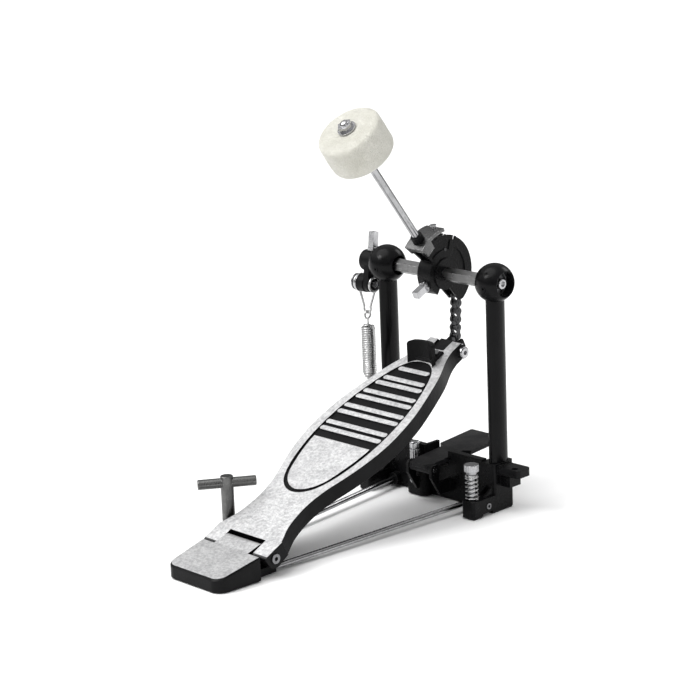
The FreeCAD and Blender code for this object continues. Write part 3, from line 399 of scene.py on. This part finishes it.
@dataclass(frozen=True)
class GroundCasting:
    """Black casting whose top faces are ground bright, with a mottled, hammered look."""

    name: str
    field: Field
    bright: Triple = (0.74, 0.74, 0.74)
    dull: Triple = (0.36, 0.36, 0.37)
    black: Triple = (0.0035, 0.0035, 0.0038)
    spot_scale: float = 430.0

    def build(self) -> bpy.types.Material:
        """Builds the finish and returns it."""
        material, graph, shader, place = start_material(self.name)
        direction, point, facing, lift = self.field.value
        flat = graph.add("NewGeometry").outputs["True Normal"]
        look = graph.add("VectorMath", {0: flat, 1: direction}, operation="DOT_PRODUCT").outputs["Value"]
        offset = graph.add("VectorMath", {0: place, 1: point}, operation="SUBTRACT").outputs[0]
        height = graph.add("VectorMath", {0: offset, 1: direction},
                           operation="DOT_PRODUCT").outputs["Value"]
        mask = graph.calc("MULTIPLY", graph.spread(look, facing - 0.02, facing),
                          graph.spread(height, lift - 0.0001, lift))
        eased = EFFECTS.place(graph, "eased_edges", Vector=place, Radius=0.0006)
        spots = EFFECTS.place(graph, "cloud", Vector=place, Scale=self.spot_scale, Detail=5.0).outputs[0]
        broad = EFFECTS.place(graph, "cloud", Vector=place, Scale=70.0, Detail=3.0, Low=0.0,
                              High=0.55).outputs[0]
        lines = EFFECTS.place(graph, "brushing", Vector=place, Squeeze=(1.0, 0.12, 0.12),
                              Scale=1500.0).outputs[0]
        fine = graph.calc("MULTIPLY", spots, 0.55)
        mottle = graph.calc("ADD", fine, graph.calc("MULTIPLY", broad, 0.45))
        ground = graph.calc("ADD", mottle, graph.calc("MULTIPLY", lines, 0.12))
        metal = graph.blend(ground, self.bright, self.dull)
        tone = EFFECTS.place(graph, "cloud", Vector=place, Scale=90.0, Low=0.0, High=0.5).outputs[0]
        paint = graph.blend(tone, self.black, tuple(c * 2.2 for c in self.black))
        worn = graph.calc("MULTIPLY", eased.outputs["EdgeMask"], 0.4)
        paint = graph.blend(worn, paint, (0.15, 0.15, 0.15))
        bare = graph.calc("MULTIPLY", mask, 0.72)
        relief = graph.calc("MULTIPLY", spots, graph.calc("ADD", graph.calc("MULTIPLY", mask, 0.7), 0.3))
        connect(graph, shader, Base_Color=graph.blend(mask, paint, metal), Metallic=bare,
                Roughness=graph.spread(mask, 0.0, 1.0, 0.34, 0.44),
                Specular_IOR_Level=graph.spread(mask, 0.0, 1.0, 0.10, 0.42))
        set_bump(graph, shader, relief, 0.00012, eased.outputs["Normal"])
        return material


@dataclass(frozen=True)
class PressedFelt:
    """Dense white wool felt: matted fibres, soft hollows and a warm uneven tone."""

    name: str
    light: Triple = (0.70, 0.69, 0.63)
    shadow: Triple = (0.48, 0.47, 0.405)

    def build(self) -> bpy.types.Material:
        """Builds the finish and returns it."""
        material, graph, shader, place = start_material(self.name)
        broad = EFFECTS.place(graph, "cloud", Vector=place, Scale=55.0, Detail=6.0).outputs[0]
        fine = EFFECTS.place(graph, "cloud", Vector=place, Scale=900.0, Detail=6.0).outputs[0]
        drift = graph.add("TexNoise", {"Vector": place, "Scale": 260.0}).outputs[1]
        drift = graph.add("VectorMath", {0: drift, 3: 0.006}, operation="SCALE").outputs[0]
        warped = graph.add("VectorMath", {0: place, 1: drift}, operation="ADD").outputs[0]
        strands = EFFECTS.place(graph, "brushing", Vector=warped, Squeeze=(0.25, 1.0, 0.6),
                                Scale=1300.0).outputs[0]
        patchy = graph.calc("MULTIPLY", broad, 0.42)
        tone = graph.calc("ADD", patchy, graph.calc("MULTIPLY", strands, 0.34))
        height = graph.calc("ADD", graph.calc("MULTIPLY", strands, 0.6), graph.calc("MULTIPLY", fine, 0.4))
        connect(graph, shader, Base_Color=graph.blend(tone, self.light, self.shadow),
                Roughness=graph.spread(fine, 0.0, 1.0, 0.88, 0.98), Sheen_Weight=0.25, Sheen_Roughness=0.5,
                Specular_IOR_Level=0.15)
        set_bump(graph, shader, height, 0.00045)
        return material


@dataclass(frozen=True)
class Moulded:
    """Moulded rubber or plastic: matt, with a fine pebble and slightly polished high spots."""

    name: str
    colour: Triple = (0.018, 0.018, 0.018)
    shine: tuple[float, float] = (0.55, 0.8)
    pebble: float = 0.00012
    edge: float = 0.0004

    def build(self) -> bpy.types.Material:
        """Builds the finish and returns it."""
        material, graph, shader, place = start_material(self.name)
        eased = EFFECTS.place(graph, "eased_edges", Vector=place, Radius=self.edge)
        tone = EFFECTS.place(graph, "cloud", Vector=place, Scale=150.0).outputs[0]
        pebble = EFFECTS.place(graph, "cloud", Vector=place, Scale=1400.0, Detail=2.0).outputs[0]
        lighter = tuple(min(1.0, c * 1.6 + 0.004) for c in self.colour)
        colour = graph.blend(graph.calc("MULTIPLY", tone, 0.6), self.colour, lighter)
        connect(graph, shader, Base_Color=graph.blend(graph.calc("MULTIPLY", eased.outputs["EdgeMask"], 0.3),
                                                      colour, lighter),
                Roughness=graph.spread(pebble, 0.0, 1.0, *self.shine))
        set_bump(graph, shader, pebble, self.pebble, eased.outputs["Normal"])
        return material


@dataclass
class Finishes:
    """All finishes of the pedal, one or more for each material slot."""

    made: dict[str, bpy.types.Material] = field(default_factory=dict)

    def build(self) -> None:
        """Builds every finish once."""
        recipes = [
            Lacquer("gloss_casting"),
            Lacquer("gloss_post", shine=(0.16, 0.26), peel=0.00002, edgemask=0.12, dust=0.01),
            Lacquer("gloss_wheel", shine=(0.22, 0.34), edgemask=0.2, edge=0.0004),
            Lacquer("satin_black", shine=(0.34, 0.48), edge=0.0004, edgemask=0.3),
            Lacquer("worn_clamp", colour=(0.013, 0.013, 0.014), bare=(0.26, 0.26, 0.26), shine=(0.34, 0.5),
                    edgemask=0.55, dust=0.07, edge=0.0005),
            Plate("chrome_plate", colour=(0.50, 0.50, 0.51), shade=(0.16, 0.16, 0.17)),
            # Painted reflection: the rods' colour is darkened and streaked along their length to stand in
            # for dark surroundings mirrored in the chrome.
            Plate("chrome_rod_painted_reflection", colour=(0.46, 0.46, 0.47), shade=(0.06, 0.06, 0.06), grain=Grain.ALONG_Z,
                  grain_scale=1500.0),
            Plate("brushed_axle", colour=(0.20, 0.20, 0.20), shade=(0.08, 0.08, 0.08), shine=(0.24, 0.42),
                  grain=Grain.ALONG_X, grain_depth=0.00004),
            Plate("oiled_ring", colour=(0.24, 0.24, 0.25), shade=(0.08, 0.08, 0.08), rim_highlight=(0.4, 0.4, 0.4),
                  shine=(0.28, 0.45)),
            # Painted highlight: the near-white rim colour paints a bright line along the saddle's edges.
            Plate("satin_saddle", colour=(0.15, 0.15, 0.15), shade=(0.06, 0.06, 0.06), rim_highlight=(0.9, 0.9, 0.9),
                  shine=(0.22, 0.36), edge=0.0007, grain=Grain.ALONG_X),
            Plate("spring_wire", colour=(0.62, 0.62, 0.62), shade=(0.2, 0.2, 0.2), shine=(0.18, 0.36)),
            Plate("dark_chain", colour=(0.075, 0.075, 0.078), shade=(0.02, 0.02, 0.02),
                  rim_highlight=(0.20, 0.20, 0.20), shine=(0.24, 0.42), edge=0.0002),
            Plate("worn_key", colour=(0.16, 0.16, 0.157), shade=(0.05, 0.05, 0.05), shine=(0.22, 0.44),
                  edge=0.0004, grain=Grain.ALONG_Z),
            GroundCasting("ground_footboard", Field.FOOTBOARD),
            GroundCasting("ground_heel", Field.HEEL),
            PressedFelt("wool_felt"),
            Moulded("black_rubber"),
            Moulded("white_nylon", colour=(0.62, 0.61, 0.56), shine=(0.4, 0.55), pebble=0.00003),
        ]
        self.made = {recipe.name: recipe.build() for recipe in recipes}
        LOG.info("finishes: %d", len(self.made))

    def dress(self, nodes: dict[str, bpy.types.Object], finish: str, *names: str) -> None:
        """Gives frame nodes a finish.

        Args:
            nodes: The frame's nodes by name.
            finish: The finish's name.
            *names: The nodes to dress.
        """
        for name in names:
            mesh = nodes[name].data
            if not mesh.materials:
                mesh.materials.append(self.made[finish])
            for place in range(len(mesh.materials)):
                mesh.materials[place] = self.made[finish]
            LOG.info("dressed %s with %s", name, finish)


FINISHES = Finishes()


# ---------------------------------------------------------------------------------------------
# Surfaces worked out as whole arrays
# ---------------------------------------------------------------------------------------------


@dataclass
class Shell:
    """One closed surface: corners and faces as arrays."""

    points: np.ndarray
    faces: list[tuple[int, ...]]


def unit(vectors: np.ndarray) -> np.ndarray:
    """Scales each vector to length 1."""
    return vectors / np.maximum(np.linalg.norm(vectors, axis=-1, keepdims=True), 1e-12)


def grid_faces(rows: int, columns: int) -> list[tuple[int, ...]]:
    """Faces of a grid whose columns close on themselves, with a pole vertex past each end.

    Args:
        rows: Rings of points, numbered first.
        columns: Points in each ring. The two poles come after the rings.

    Returns:
        The faces, all turned the same way.
    """
    k = np.arange(rows * columns).reshape(rows, columns)
    turned = np.roll(k, -1, axis=1)
    quads = np.stack([k[:-1], turned[:-1], turned[1:], k[1:]], axis=-1).reshape(-1, 4)
    low, high = rows * columns, rows * columns + 1
    first = np.stack([np.full(columns, low), turned[0], k[0]], axis=-1)
    last = np.stack([np.full(columns, high), k[-1], turned[-1]], axis=-1)
    return [tuple(f) for f in quads.tolist() + first.tolist() + last.tolist()]


def wire(path: np.ndarray, reference: np.ndarray, radius: float, sides: int = 10) -> Shell:
    """A round wire along a path.

    Each ring lies across the path: centre + radius (cos a N + sin a B), where B is the path's
    direction crossed with the reference, and N is B crossed with the direction. The last rings
    shrink along a quarter circle, so that both ends are domed.

    Args:
        path: The middle line's points, one row each.
        reference: A direction, or one for each point, that is never along the path.
        radius: The wire's radius.
        sides: Points in each ring.

    Returns:
        The wire as a closed shell.
    """
    along = unit(np.gradient(path, axis=0))
    across = unit(np.cross(along, np.broadcast_to(reference, path.shape)))
    out = np.cross(across, along)
    quarter = np.linspace(0.0, math.pi / 2, 4)[1:-1]
    starts = path[0] - along[0] * radius * np.sin(quarter[::-1])[:, None]
    ends = path[-1] + along[-1] * radius * np.sin(quarter)[:, None]
    centres = np.vstack([starts, path, ends])
    shrink = np.concatenate([np.cos(quarter[::-1]), np.ones(len(path)), np.cos(quarter)])
    spread = [np.vstack([np.repeat(v[:1], 2, axis=0), v, np.repeat(v[-1:], 2, axis=0)])
              for v in (out, across)]
    angle = np.linspace(0.0, 2 * math.pi, sides, endpoint=False)
    ring = np.cos(angle)[None, :, None] * spread[0][:, None]
    ring = ring + np.sin(angle)[None, :, None] * spread[1][:, None]
    points = centres[:, None] + ring * (radius * shrink)[:, None, None]
    poles = np.array([path[0] - along[0] * radius, path[-1] + along[-1] * radius])
    faces = grid_faces(len(centres), sides)
    return Shell(np.vstack([points.reshape(-1, 3), poles]), faces)


def lathe(profile: np.ndarray, start: np.ndarray, axis: np.ndarray, sides: int = 72,
          uneven: float = 0.0) -> Shell:
    """A surface of revolution about an axis.

    A point is start + axis h + r (cos a N + sin a B) for each profile point (r, h) and angle a.
    Unevenness adds a few slow waves to r, the sum of three sines of a and h.

    Args:
        profile: Radius and height of each profile point, from the low pole to the high one.
        start: The point on the axis at height 0.
        axis: The axis as a unit vector.
        sides: Points round the axis.
        uneven: Height of the slow waves, in metres.

    Returns:
        The closed shell.
    """
    side = unit(np.cross(axis, np.array([1.0, 0.0, 0.0])))
    other = np.cross(axis, side)
    angle = np.linspace(0.0, 2 * math.pi, sides, endpoint=False)[None, :]
    radius, height = profile[:, :1], profile[:, 1:]
    waves = np.sin(3 * angle + 190 * height) + 0.6 * np.sin(7 * angle - 260 * height + 1.0)
    waves = waves + 0.4 * np.sin(13 * angle + 520 * height + 2.0)
    wide = radius + uneven * waves * np.minimum(1.0, radius / max(radius.max(), 1e-9))
    ring = np.cos(angle)[..., None] * side + np.sin(angle)[..., None] * other
    points = start + height[..., None] * axis + wide[..., None] * ring
    poles = np.stack([start + profile[0, 1] * axis, start + profile[-1, 1] * axis])
    return Shell(np.vstack([points.reshape(-1, 3), poles]), grid_faces(len(profile), sides))


def make_piece(name: str, shells: list[Shell], finish: str,
               smooth: bool = True) -> bpy.types.Object:
    """Makes one object from closed shells.

    Args:
        name: The piece's name.
        shells: The shells, in metres.
        finish: The finish's name.
        smooth: Whether its faces are shaded smooth.

    Returns:
        The object, at the origin.
    """
    offsets = np.cumsum([0] + [len(shell.points) for shell in shells])
    points = np.vstack([shell.points for shell in shells])
    faces = [tuple(int(offset) + k for k in face)
             for shell, offset in zip(shells, offsets) for face in shell.faces]
    mesh = bpy.data.meshes.new(name)
    mesh.from_pydata(points.tolist(), [], faces)
    mesh.polygons.foreach_set("use_smooth", np.full(len(mesh.polygons), smooth))
    mesh.materials.append(FINISHES.made[finish])
    mesh.update()
    piece = bpy.data.objects.new(name, mesh)
    bpy.context.scene.collection.objects.link(piece)
    LOG.info("made %s: %d faces", name, len(faces))
    return piece


def around_axle(radius: float, degrees: float, x: float = 0.0) -> np.ndarray:
    """A point about the axle in metres, from millimetres and an angle from +Y towards +Z."""
    angle = math.radians(degrees)
    return np.array([x, radius * math.cos(angle), AXLE_Z + radius * math.sin(angle)]) * MM


# ---------------------------------------------------------------------------------------------
# Sub-assemblies
# ---------------------------------------------------------------------------------------------


@dataclass
class Base:
    """The base casting with its posts, pads, screws, thin rods and spurs."""

    nodes: dict[str, bpy.types.Object]
    spur_x: float = 53.2
    spur_y: float = -28.0
    coil_low: float = 14.1
    coil_high: float = 33.7
    coil_radius: float = 4.6
    coil_wire: float = 0.58
    turns: float = 7.0

    def dress(self) -> None:
        """Gives every node of the base its finish."""
        FINISHES.dress(self.nodes, "gloss_casting", "base_frame")
        FINISHES.dress(self.nodes, "gloss_post", "post_left", "post_right")
        FINISHES.dress(self.nodes, "satin_black", "post_bolts", "key_holder", "bearing_screws")
        FINISHES.dress(self.nodes, "black_rubber", "base_pads", "heel_pad", "clamp_pad")
        FINISHES.dress(self.nodes, "chrome_plate", "bearing_balls", "spur_bolt_left", "spur_bolt_right")
        FINISHES.dress(self.nodes, "chrome_rod_painted_reflection", "radius_rod_left", "radius_rod_right")
        FINISHES.dress(self.nodes, "oiled_ring", "bearing_outer_rings", "bearing_inner_rings",
                       "foot_screws")

    def spur_coil(self, side: Side) -> bpy.types.Object:
        """Compression spring round one spur bolt.

        The middle line is a helix: the radius is constant, and the height is eased at both ends
        so that the first and last turn lie flat.

        Args:
            side: Which spur.

        Returns:
            The spring.
        """
        t = np.linspace(0.0, 1.0, int(self.turns * 26))
        flat = 1.0 / self.turns
        rise = np.clip((t - flat) / (1 - 2 * flat), 0.0, 1.0)
        wound = 2 * math.pi * self.turns * t
        low, high = self.coil_low + self.coil_wire, self.coil_high - self.coil_wire
        spare = 2 * self.coil_wire * (np.minimum(t, flat) / flat + np.maximum(t - 1 + flat, 0.0) / flat)
        height = low + spare + rise * (high - low - 4 * self.coil_wire)
        path = np.stack([side.value * (self.spur_x + self.coil_radius * np.cos(wound)),
                         self.spur_y + self.coil_radius * np.sin(wound), height], axis=-1) * MM
        name = side.name.lower()
        shell = wire(path, np.array([0.0, 0.0, 1.0]), self.coil_wire * MM)
        coil = make_piece("spur_coil_" + name, [shell], "spring_wire")
        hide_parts("spur_spring_" + name)
        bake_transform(coil)
        return coil

    def build(self) -> None:
        """Dresses the base and makes both spur springs."""
        self.dress()
        for side in Side:
            self.spur_coil(side)


@dataclass
class Treadle:
    """The footboard, heel plate, toe stop and chain."""

    nodes: dict[str, bpy.types.Object]

    def build(self) -> None:
        """Gives every node its finish."""
        FINISHES.dress(self.nodes, "ground_footboard", "footboard")
        FINISHES.dress(self.nodes, "ground_heel", "heel_plate")
        FINISHES.dress(self.nodes, "satin_black", "toe_stop", "chain_block")
        FINISHES.dress(self.nodes, "white_nylon", "hinge_bushes")
        FINISHES.dress(self.nodes, "oiled_ring", "hinge_pin", "toe_stop_screws")
        FINISHES.dress(self.nodes, "chrome_plate", "fork_bolt", "fork_nut", "chain_lower_pin")
        FINISHES.dress(self.nodes, "dark_chain", "chain_inner_links", "chain_outer_links",
                       "chain_wheel_link", "chain_anchor_pin")


@dataclass
class Beater:
    """The axle, chain wheel, saddle, rod and felt head."""

    nodes: dict[str, bpy.types.Object]
    felt_middle: float = 137.0
    felt_radius: float = 24.4
    felt_height: float = 28.0
    felt_edge: float = 3.8
    crown: float = 0.5
    dome_start: float = 154.6
    dome_radius: float = 3.6

    def felt(self) -> bpy.types.Object:
        """The felt head as a turned surface.

        The profile runs up a slightly crowned lower face, round a quarter circle at the edge,
        up a side that swells in its middle, round the other edge and across the upper face,
        which is pressed in under its washer.

        Returns:
            The felt head.
        """
        axis = around_axle(1.0, ROD_DEGREES) - around_axle(0.0, ROD_DEGREES)
        axis = unit(axis)
        half, edge = self.felt_height / 2, self.felt_edge
        across = np.linspace(0.6, self.felt_radius - edge, 26)
        press = self.crown * np.cos(across / (self.felt_radius - edge) * math.pi / 2)
        dent = 0.55 * np.exp(-((across / 7.6) ** 6))
        face = half - 0.5 + press - dent
        corner = np.linspace(0.0, math.pi / 2, 12)[1:]
        corner_r = self.felt_radius - edge + edge * np.sin(corner)
        corner_h = half - 0.5 - edge + edge * np.cos(corner)
        swell = np.linspace(-1.0, 1.0, 24)[1:-1]
        side_r = self.felt_radius + 0.22 * (1 - swell ** 2)
        side_h = swell * (half - 0.5 - edge)
        end_r, end_h = np.concatenate([across, corner_r]), np.concatenate([face, corner_h])
        low = np.stack([end_r, -end_h], axis=-1)
        high = np.stack([end_r, end_h], axis=-1)[::-1]
        profile = np.vstack([low, np.stack([side_r, side_h], axis=-1), high]) * MM
        middle = around_axle(self.felt_middle, ROD_DEGREES)
        head = make_piece("felt_beater", [lathe(profile, middle, axis, 120, 0.00010)], "wool_felt")
        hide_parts("felt_head")
        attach(head, "beater")
        return head

    def dome(self) -> bpy.types.Object:
        """The domed cap on the upper nut: a quarter ellipse turned about the rod.

        Returns:
            The cap.
        """
        axis = unit(around_axle(1.0, ROD_DEGREES) - around_axle(0.0, ROD_DEGREES))
        turn = np.linspace(0.0, math.pi / 2 - 0.06, 14)
        cap = np.stack([self.dome_radius * np.cos(turn), 0.6 + 3.0 * np.sin(turn)], axis=-1)
        profile = np.vstack([[[self.dome_radius * 0.9, 0.0], [self.dome_radius, 0.15]], cap]) * MM
        start = around_axle(self.dome_start, ROD_DEGREES)
        piece = make_piece("felt_nut_dome", [lathe(profile, start, axis, 40)], "chrome_plate")
        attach(piece, "beater")
        return piece

    def build(self) -> None:
        """Dresses the beater's nodes and makes its felt and cap."""
        FINISHES.dress(self.nodes, "brushed_axle", "axle")
        FINISHES.dress(self.nodes, "gloss_wheel", "cam_wheel")
        FINISHES.dress(self.nodes, "satin_black", "rod_holder")
        FINISHES.dress(self.nodes, "satin_saddle", "beater_saddle")
        FINISHES.dress(self.nodes, "chrome_rod_painted_reflection", "beater_rod")
        FINISHES.dress(self.nodes, "chrome_plate", "axle_screw", "hub_key_bolt", "saddle_screw",
                       "felt_washers", "felt_nuts")
        self.felt()
        self.dome()


@dataclass
class ReturnSpring:
    """The extension spring with its hooks, the wire stirrup, the rocker and the tension bolt."""

    nodes: dict[str, bpy.types.Object]
    x: float = -74.5
    y: float = -4.0
    coil_low: float = 79.0
    coil_high: float = 123.4
    radius: float = 4.8
    wire: float = 0.8
    turns: float = 25.0
    pin_y: float = -4.05
    pin_z: float = 156.46
    eye_radius: float = 5.5
    ring_z: float = 136.5
    ring_radius: float = 3.6
    stirrup_wire: float = 0.95

    def coil(self) -> bpy.types.Object:
        """The spring: a close coil with a tapered foot and a hook at each end.

        The coil is a helix whose radius grows from the foot over its first turns and closes in
        a little over its last one. The lower hook is most of a circle across X and Z, through
        the tension bolt's eye, and the upper one most of a circle across Y and Z, through the
        stirrup's ring. A short stem joins each to the coil.

        Returns:
            The spring.
        """
        t = np.linspace(0.0, 1.0, int(self.turns * 22))
        wound = 2 * math.pi * self.turns * t
        grow = np.clip(t * self.turns / 4.0, 0.0, 1.0)
        shut = np.clip((1 - t) * self.turns / 1.2, 0.0, 1.0)
        wide = 1.0 + (self.radius - 1.0) * np.sin(grow * math.pi / 2) * np.sqrt(np.clip(shut, 0.04, 1.0))
        height = self.coil_low + (self.coil_high - self.coil_low) * t
        coil = np.stack([self.x + wide * np.cos(wound), self.y + wide * np.sin(wound), height], axis=-1)
        up = np.array([0.0, 0.0, 1.0])
        shells = [wire(coil * MM, up, self.wire * MM)]
        sweep = np.radians(np.linspace(-235.0, 90.0, 40))
        low = np.stack([self.x + 2.9 * np.cos(sweep), np.full(40, self.y),
                        75.0 + 2.9 * np.sin(sweep)], axis=-1)
        stem = np.linspace(0.0, 1.0, 6)[:, None]
        shells.append(wire(low * MM, np.array([0.0, 1.0, 0.0]), self.wire * MM))
        ends = np.array([[self.x, self.y, 77.4], [self.x, self.y, 80.2]])
        line = (ends[0] + (ends[1] - ends[0]) * stem) * MM
        shells.append(wire(line, np.array([0.0, 1.0, 0.0]), self.wire * MM))
        sweep = np.radians(np.linspace(-90.0, 232.0, 40))
        high = np.stack([np.full(40, self.x), self.y + 3.0 * np.cos(sweep),
                         131.3 + 3.0 * np.sin(sweep)], axis=-1)
        shells.append(wire(high * MM, np.array([1.0, 0.0, 0.0]), self.wire * MM))
        ends = np.array([[self.x, self.y, 122.6], [self.x, self.y, 128.4]])
        line = (ends[0] + (ends[1] - ends[0]) * stem) * MM
        shells.append(wire(line, np.array([0.0, 1.0, 0.0]), self.wire * MM))
        spring = make_piece("return_coil", shells, "spring_wire")
        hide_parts("return_spring")
        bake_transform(spring)
        return spring

    def stirrup(self) -> bpy.types.Object:
        """The stirrup: one wire from an eye, down a leg, round a ring, up a leg, to an eye.

        Both eyes are circles across Y and Z about the rocker pin, the legs are straight, and
        the ring is most of a circle across X and Z. The rings of the wire turn against X at the
        eyes and against Y along the legs and at the ring.

        Returns:
            The stirrup.
        """
        eyes, legs = [], []
        for eye_x, sign in ((-82.6, 1.0), (-66.0, -1.0)):
            turn = np.radians(np.linspace(265.0, -88.0, 46))
            eye = np.stack([np.full(46, eye_x), self.pin_y + self.eye_radius * np.cos(turn),
                            self.pin_z + self.eye_radius * np.sin(turn)], axis=-1)
            foot = np.array([self.x - sign * self.ring_radius * 0.92, self.pin_y, self.ring_z + 1.4])
            stem = np.linspace(0.0, 1.0, 14)[:, None]
            eyes.append(wire(eye * MM, np.array([1.0, 0.0, 0.0]), self.stirrup_wire * MM))
            legs.append(wire((eye[-1] + (foot - eye[-1]) * stem) * MM, np.array([0.0, 1.0, 0.0]),
                             self.stirrup_wire * MM))
        turn = np.radians(np.linspace(157.0, 383.0, 44))
        ring = np.stack([self.x + self.ring_radius * np.cos(turn), np.full(44, self.pin_y),
                         self.ring_z + self.ring_radius * np.sin(turn)], axis=-1)
        ring_wire = wire(ring * MM, np.array([0.0, 1.0, 0.0]), self.stirrup_wire * MM)
        piece = make_piece("stirrup_wire", eyes + legs + [ring_wire], "spring_wire")
        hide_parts("spring_stirrup")
        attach(piece, "stirrup")
        return piece

    def build(self) -> None:
        """Dresses the spring side's nodes and makes its wires."""
        FINISHES.dress(self.nodes, "satin_black", "spring_rocker", "rocker_roller")
        FINISHES.dress(self.nodes, "chrome_plate", "rocker_key_bolt", "rocker_pin", "roller_disc",
                       "tension_bolt", "tension_nut_upper", "tension_nut_lower")
        self.coil()
        self.stirrup()


@dataclass
class HoopClamp:
    """The clamp that grips a drum's hoop."""

    nodes: dict[str, bpy.types.Object]

    def build(self) -> None:
        """Gives every node its finish."""
        FINISHES.dress(self.nodes, "worn_clamp", "clamp_plate")
        FINISHES.dress(self.nodes, "chrome_plate", "clamp_pivot_pin", "clamp_stud", "clamp_nut",
                       "clamp_boss_screw", "clamp_stop_screw")


@dataclass
class DrumKey:
    """The T-shaped key on its peg."""

    nodes: dict[str, bpy.types.Object]

    def build(self) -> None:
        """Gives the key its finish."""
        FINISHES.dress(self.nodes, "worn_key", "drum_key")


@dataclass
class Studio:
    """Plain pale floor, soft light and the camera."""

    target: Triple = (-0.0481, -0.0500, 0.1170)
    azimuth: float = 46.1
    elevation: float = 14.9
    roll: float = -2.3
    distance: float = 1.629
    lens: float = 110.96

    def floor(self) -> None:
        """Makes a large pale floor with a faint sweep of tone."""
        size = 60.0
        mesh = bpy.data.meshes.new("studio_floor")
        corners = [(-size, -size, 0), (size, -size, 0), (size, size, 0), (-size, size, 0)]
        mesh.from_pydata(corners, [], [(0, 1, 2, 3)])
        material, graph, shader, place = start_material("studio_paper")
        tone = EFFECTS.place(graph, "cloud", Vector=place, Scale=3.0, Detail=2.0).outputs[0]
        paper = graph.blend(tone, (0.92, 0.92, 0.92), (0.94, 0.94, 0.94))
        connect(graph, shader, Base_Color=paper, Roughness=0.95)
        mesh.materials.append(material)
        floor = bpy.data.objects.new("studio_floor", mesh)
        bpy.context.scene.collection.objects.link(floor)

    def lamp(self, name: str, place: Triple, size: float, power: float) -> None:
        """Hangs one soft lamp that points at the target.

        Args:
            name: The lamp's name.
            place: Where it hangs.
            size: Its width.
            power: Its power in watts.
        """
        data = bpy.data.lights.new(name, "AREA")
        data.shape = "DISK"
        data.size = size
        data.energy = power
        lamp = bpy.data.objects.new(name, data)
        lamp.location = place
        lamp.rotation_euler = (Vector(self.target) - Vector(place)).to_track_quat("-Z", "Y").to_euler()
        bpy.context.scene.collection.objects.link(lamp)

    def camera(self) -> None:
        """Places the camera at its azimuth and elevation round the target, turned by its roll."""
        az, el, ro = (math.radians(a) for a in (self.azimuth, self.elevation, self.roll))
        back = Vector((math.sin(az) * math.cos(el), -math.cos(az) * math.cos(el), math.sin(el)))
        right = Vector((math.cos(az), math.sin(az), 0.0))
        up = back.cross(right)
        turned_right = right * math.cos(ro) + up * math.sin(ro)
        turned_up = up * math.cos(ro) - right * math.sin(ro)
        data = bpy.data.cameras.new("camera")
        data.lens = self.lens
        data.sensor_width = 36.0
        data.clip_end = 400.0
        camera = bpy.data.objects.new("camera", data)
        turn = Matrix((turned_right, turned_up, back)).transposed().to_4x4()
        camera.matrix_world = Matrix.Translation(Vector(self.target) + back * self.distance) @ turn
        bpy.context.scene.collection.objects.link(camera)
        bpy.context.scene.camera = camera

    def build(self) -> None:
        """Builds the studio."""
        self.floor()
        world = bpy.data.worlds.new("studio_air")
        world.use_nodes = True
        graph = Graph(world.node_tree)
        look = graph.add("TexCoord").outputs["Generated"]
        x, y, z = (graph.add("SeparateXYZ", {0: look}).outputs[k] for k in range(3))
        above = graph.spread(z, 0.05, 0.85, 0.10, 0.62)
        across = graph.calc("SUBTRACT", graph.calc("MULTIPLY", x, -0.75), graph.calc("MULTIPLY", y, 0.66))
        panel = graph.spread(across, 0.45, 0.8, 0.0, 0.55)
        air = graph.calc("ADD", above, graph.calc("MULTIPLY", panel, graph.spread(z, 0.1, 0.4)))
        seen = graph.add("LightPath").outputs["Is Camera Ray"]
        sky = world.node_tree.nodes["Background"]
        colour = graph.add("CombineColor", {0: air, 1: air, 2: air}).outputs[0]
        graph.tree.links.new(graph.blend(seen, colour, (1.0, 1.0, 1.0)), sky.inputs[0])
        sky.inputs[1].default_value = 1.0
        bpy.context.scene.world = world
        bpy.context.scene.view_settings.view_transform = "Standard"
        sun = bpy.data.lights.new("wide_sun", "SUN")
        sun.energy = 2.3
        sun.angle = math.radians(60.0)
        sun_lamp = bpy.data.objects.new("wide_sun", sun)
        sun_lamp.rotation_euler = (math.radians(22.0), math.radians(-14.0), 0.0)
        bpy.context.scene.collection.objects.link(sun_lamp)
        self.lamp("key_lamp", (-0.5, -1.2, 1.3), 0.55, 9.0)
        self.lamp("fill_lamp", (1.5, -0.4, 0.8), 0.5, 3.5)
        self.lamp("back_lamp", (0.2, 1.5, 1.2), 0.8, 6.0)
        self.camera()


def main() -> None:
    """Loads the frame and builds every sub-assembly in order."""
    logging.basicConfig(level=logging.INFO, format="%(name)s: %(message)s")
    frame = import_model()
    EFFECTS.build()
    FINISHES.build()
    for assembly in (Base, Treadle, Beater, ReturnSpring, HoopClamp, DrumKey):
        assembly(frame["nodes"]).build()
        LOG.info("built %s", assembly.__name__)
    Studio().build()


if __name__ == "__main__":
    main()
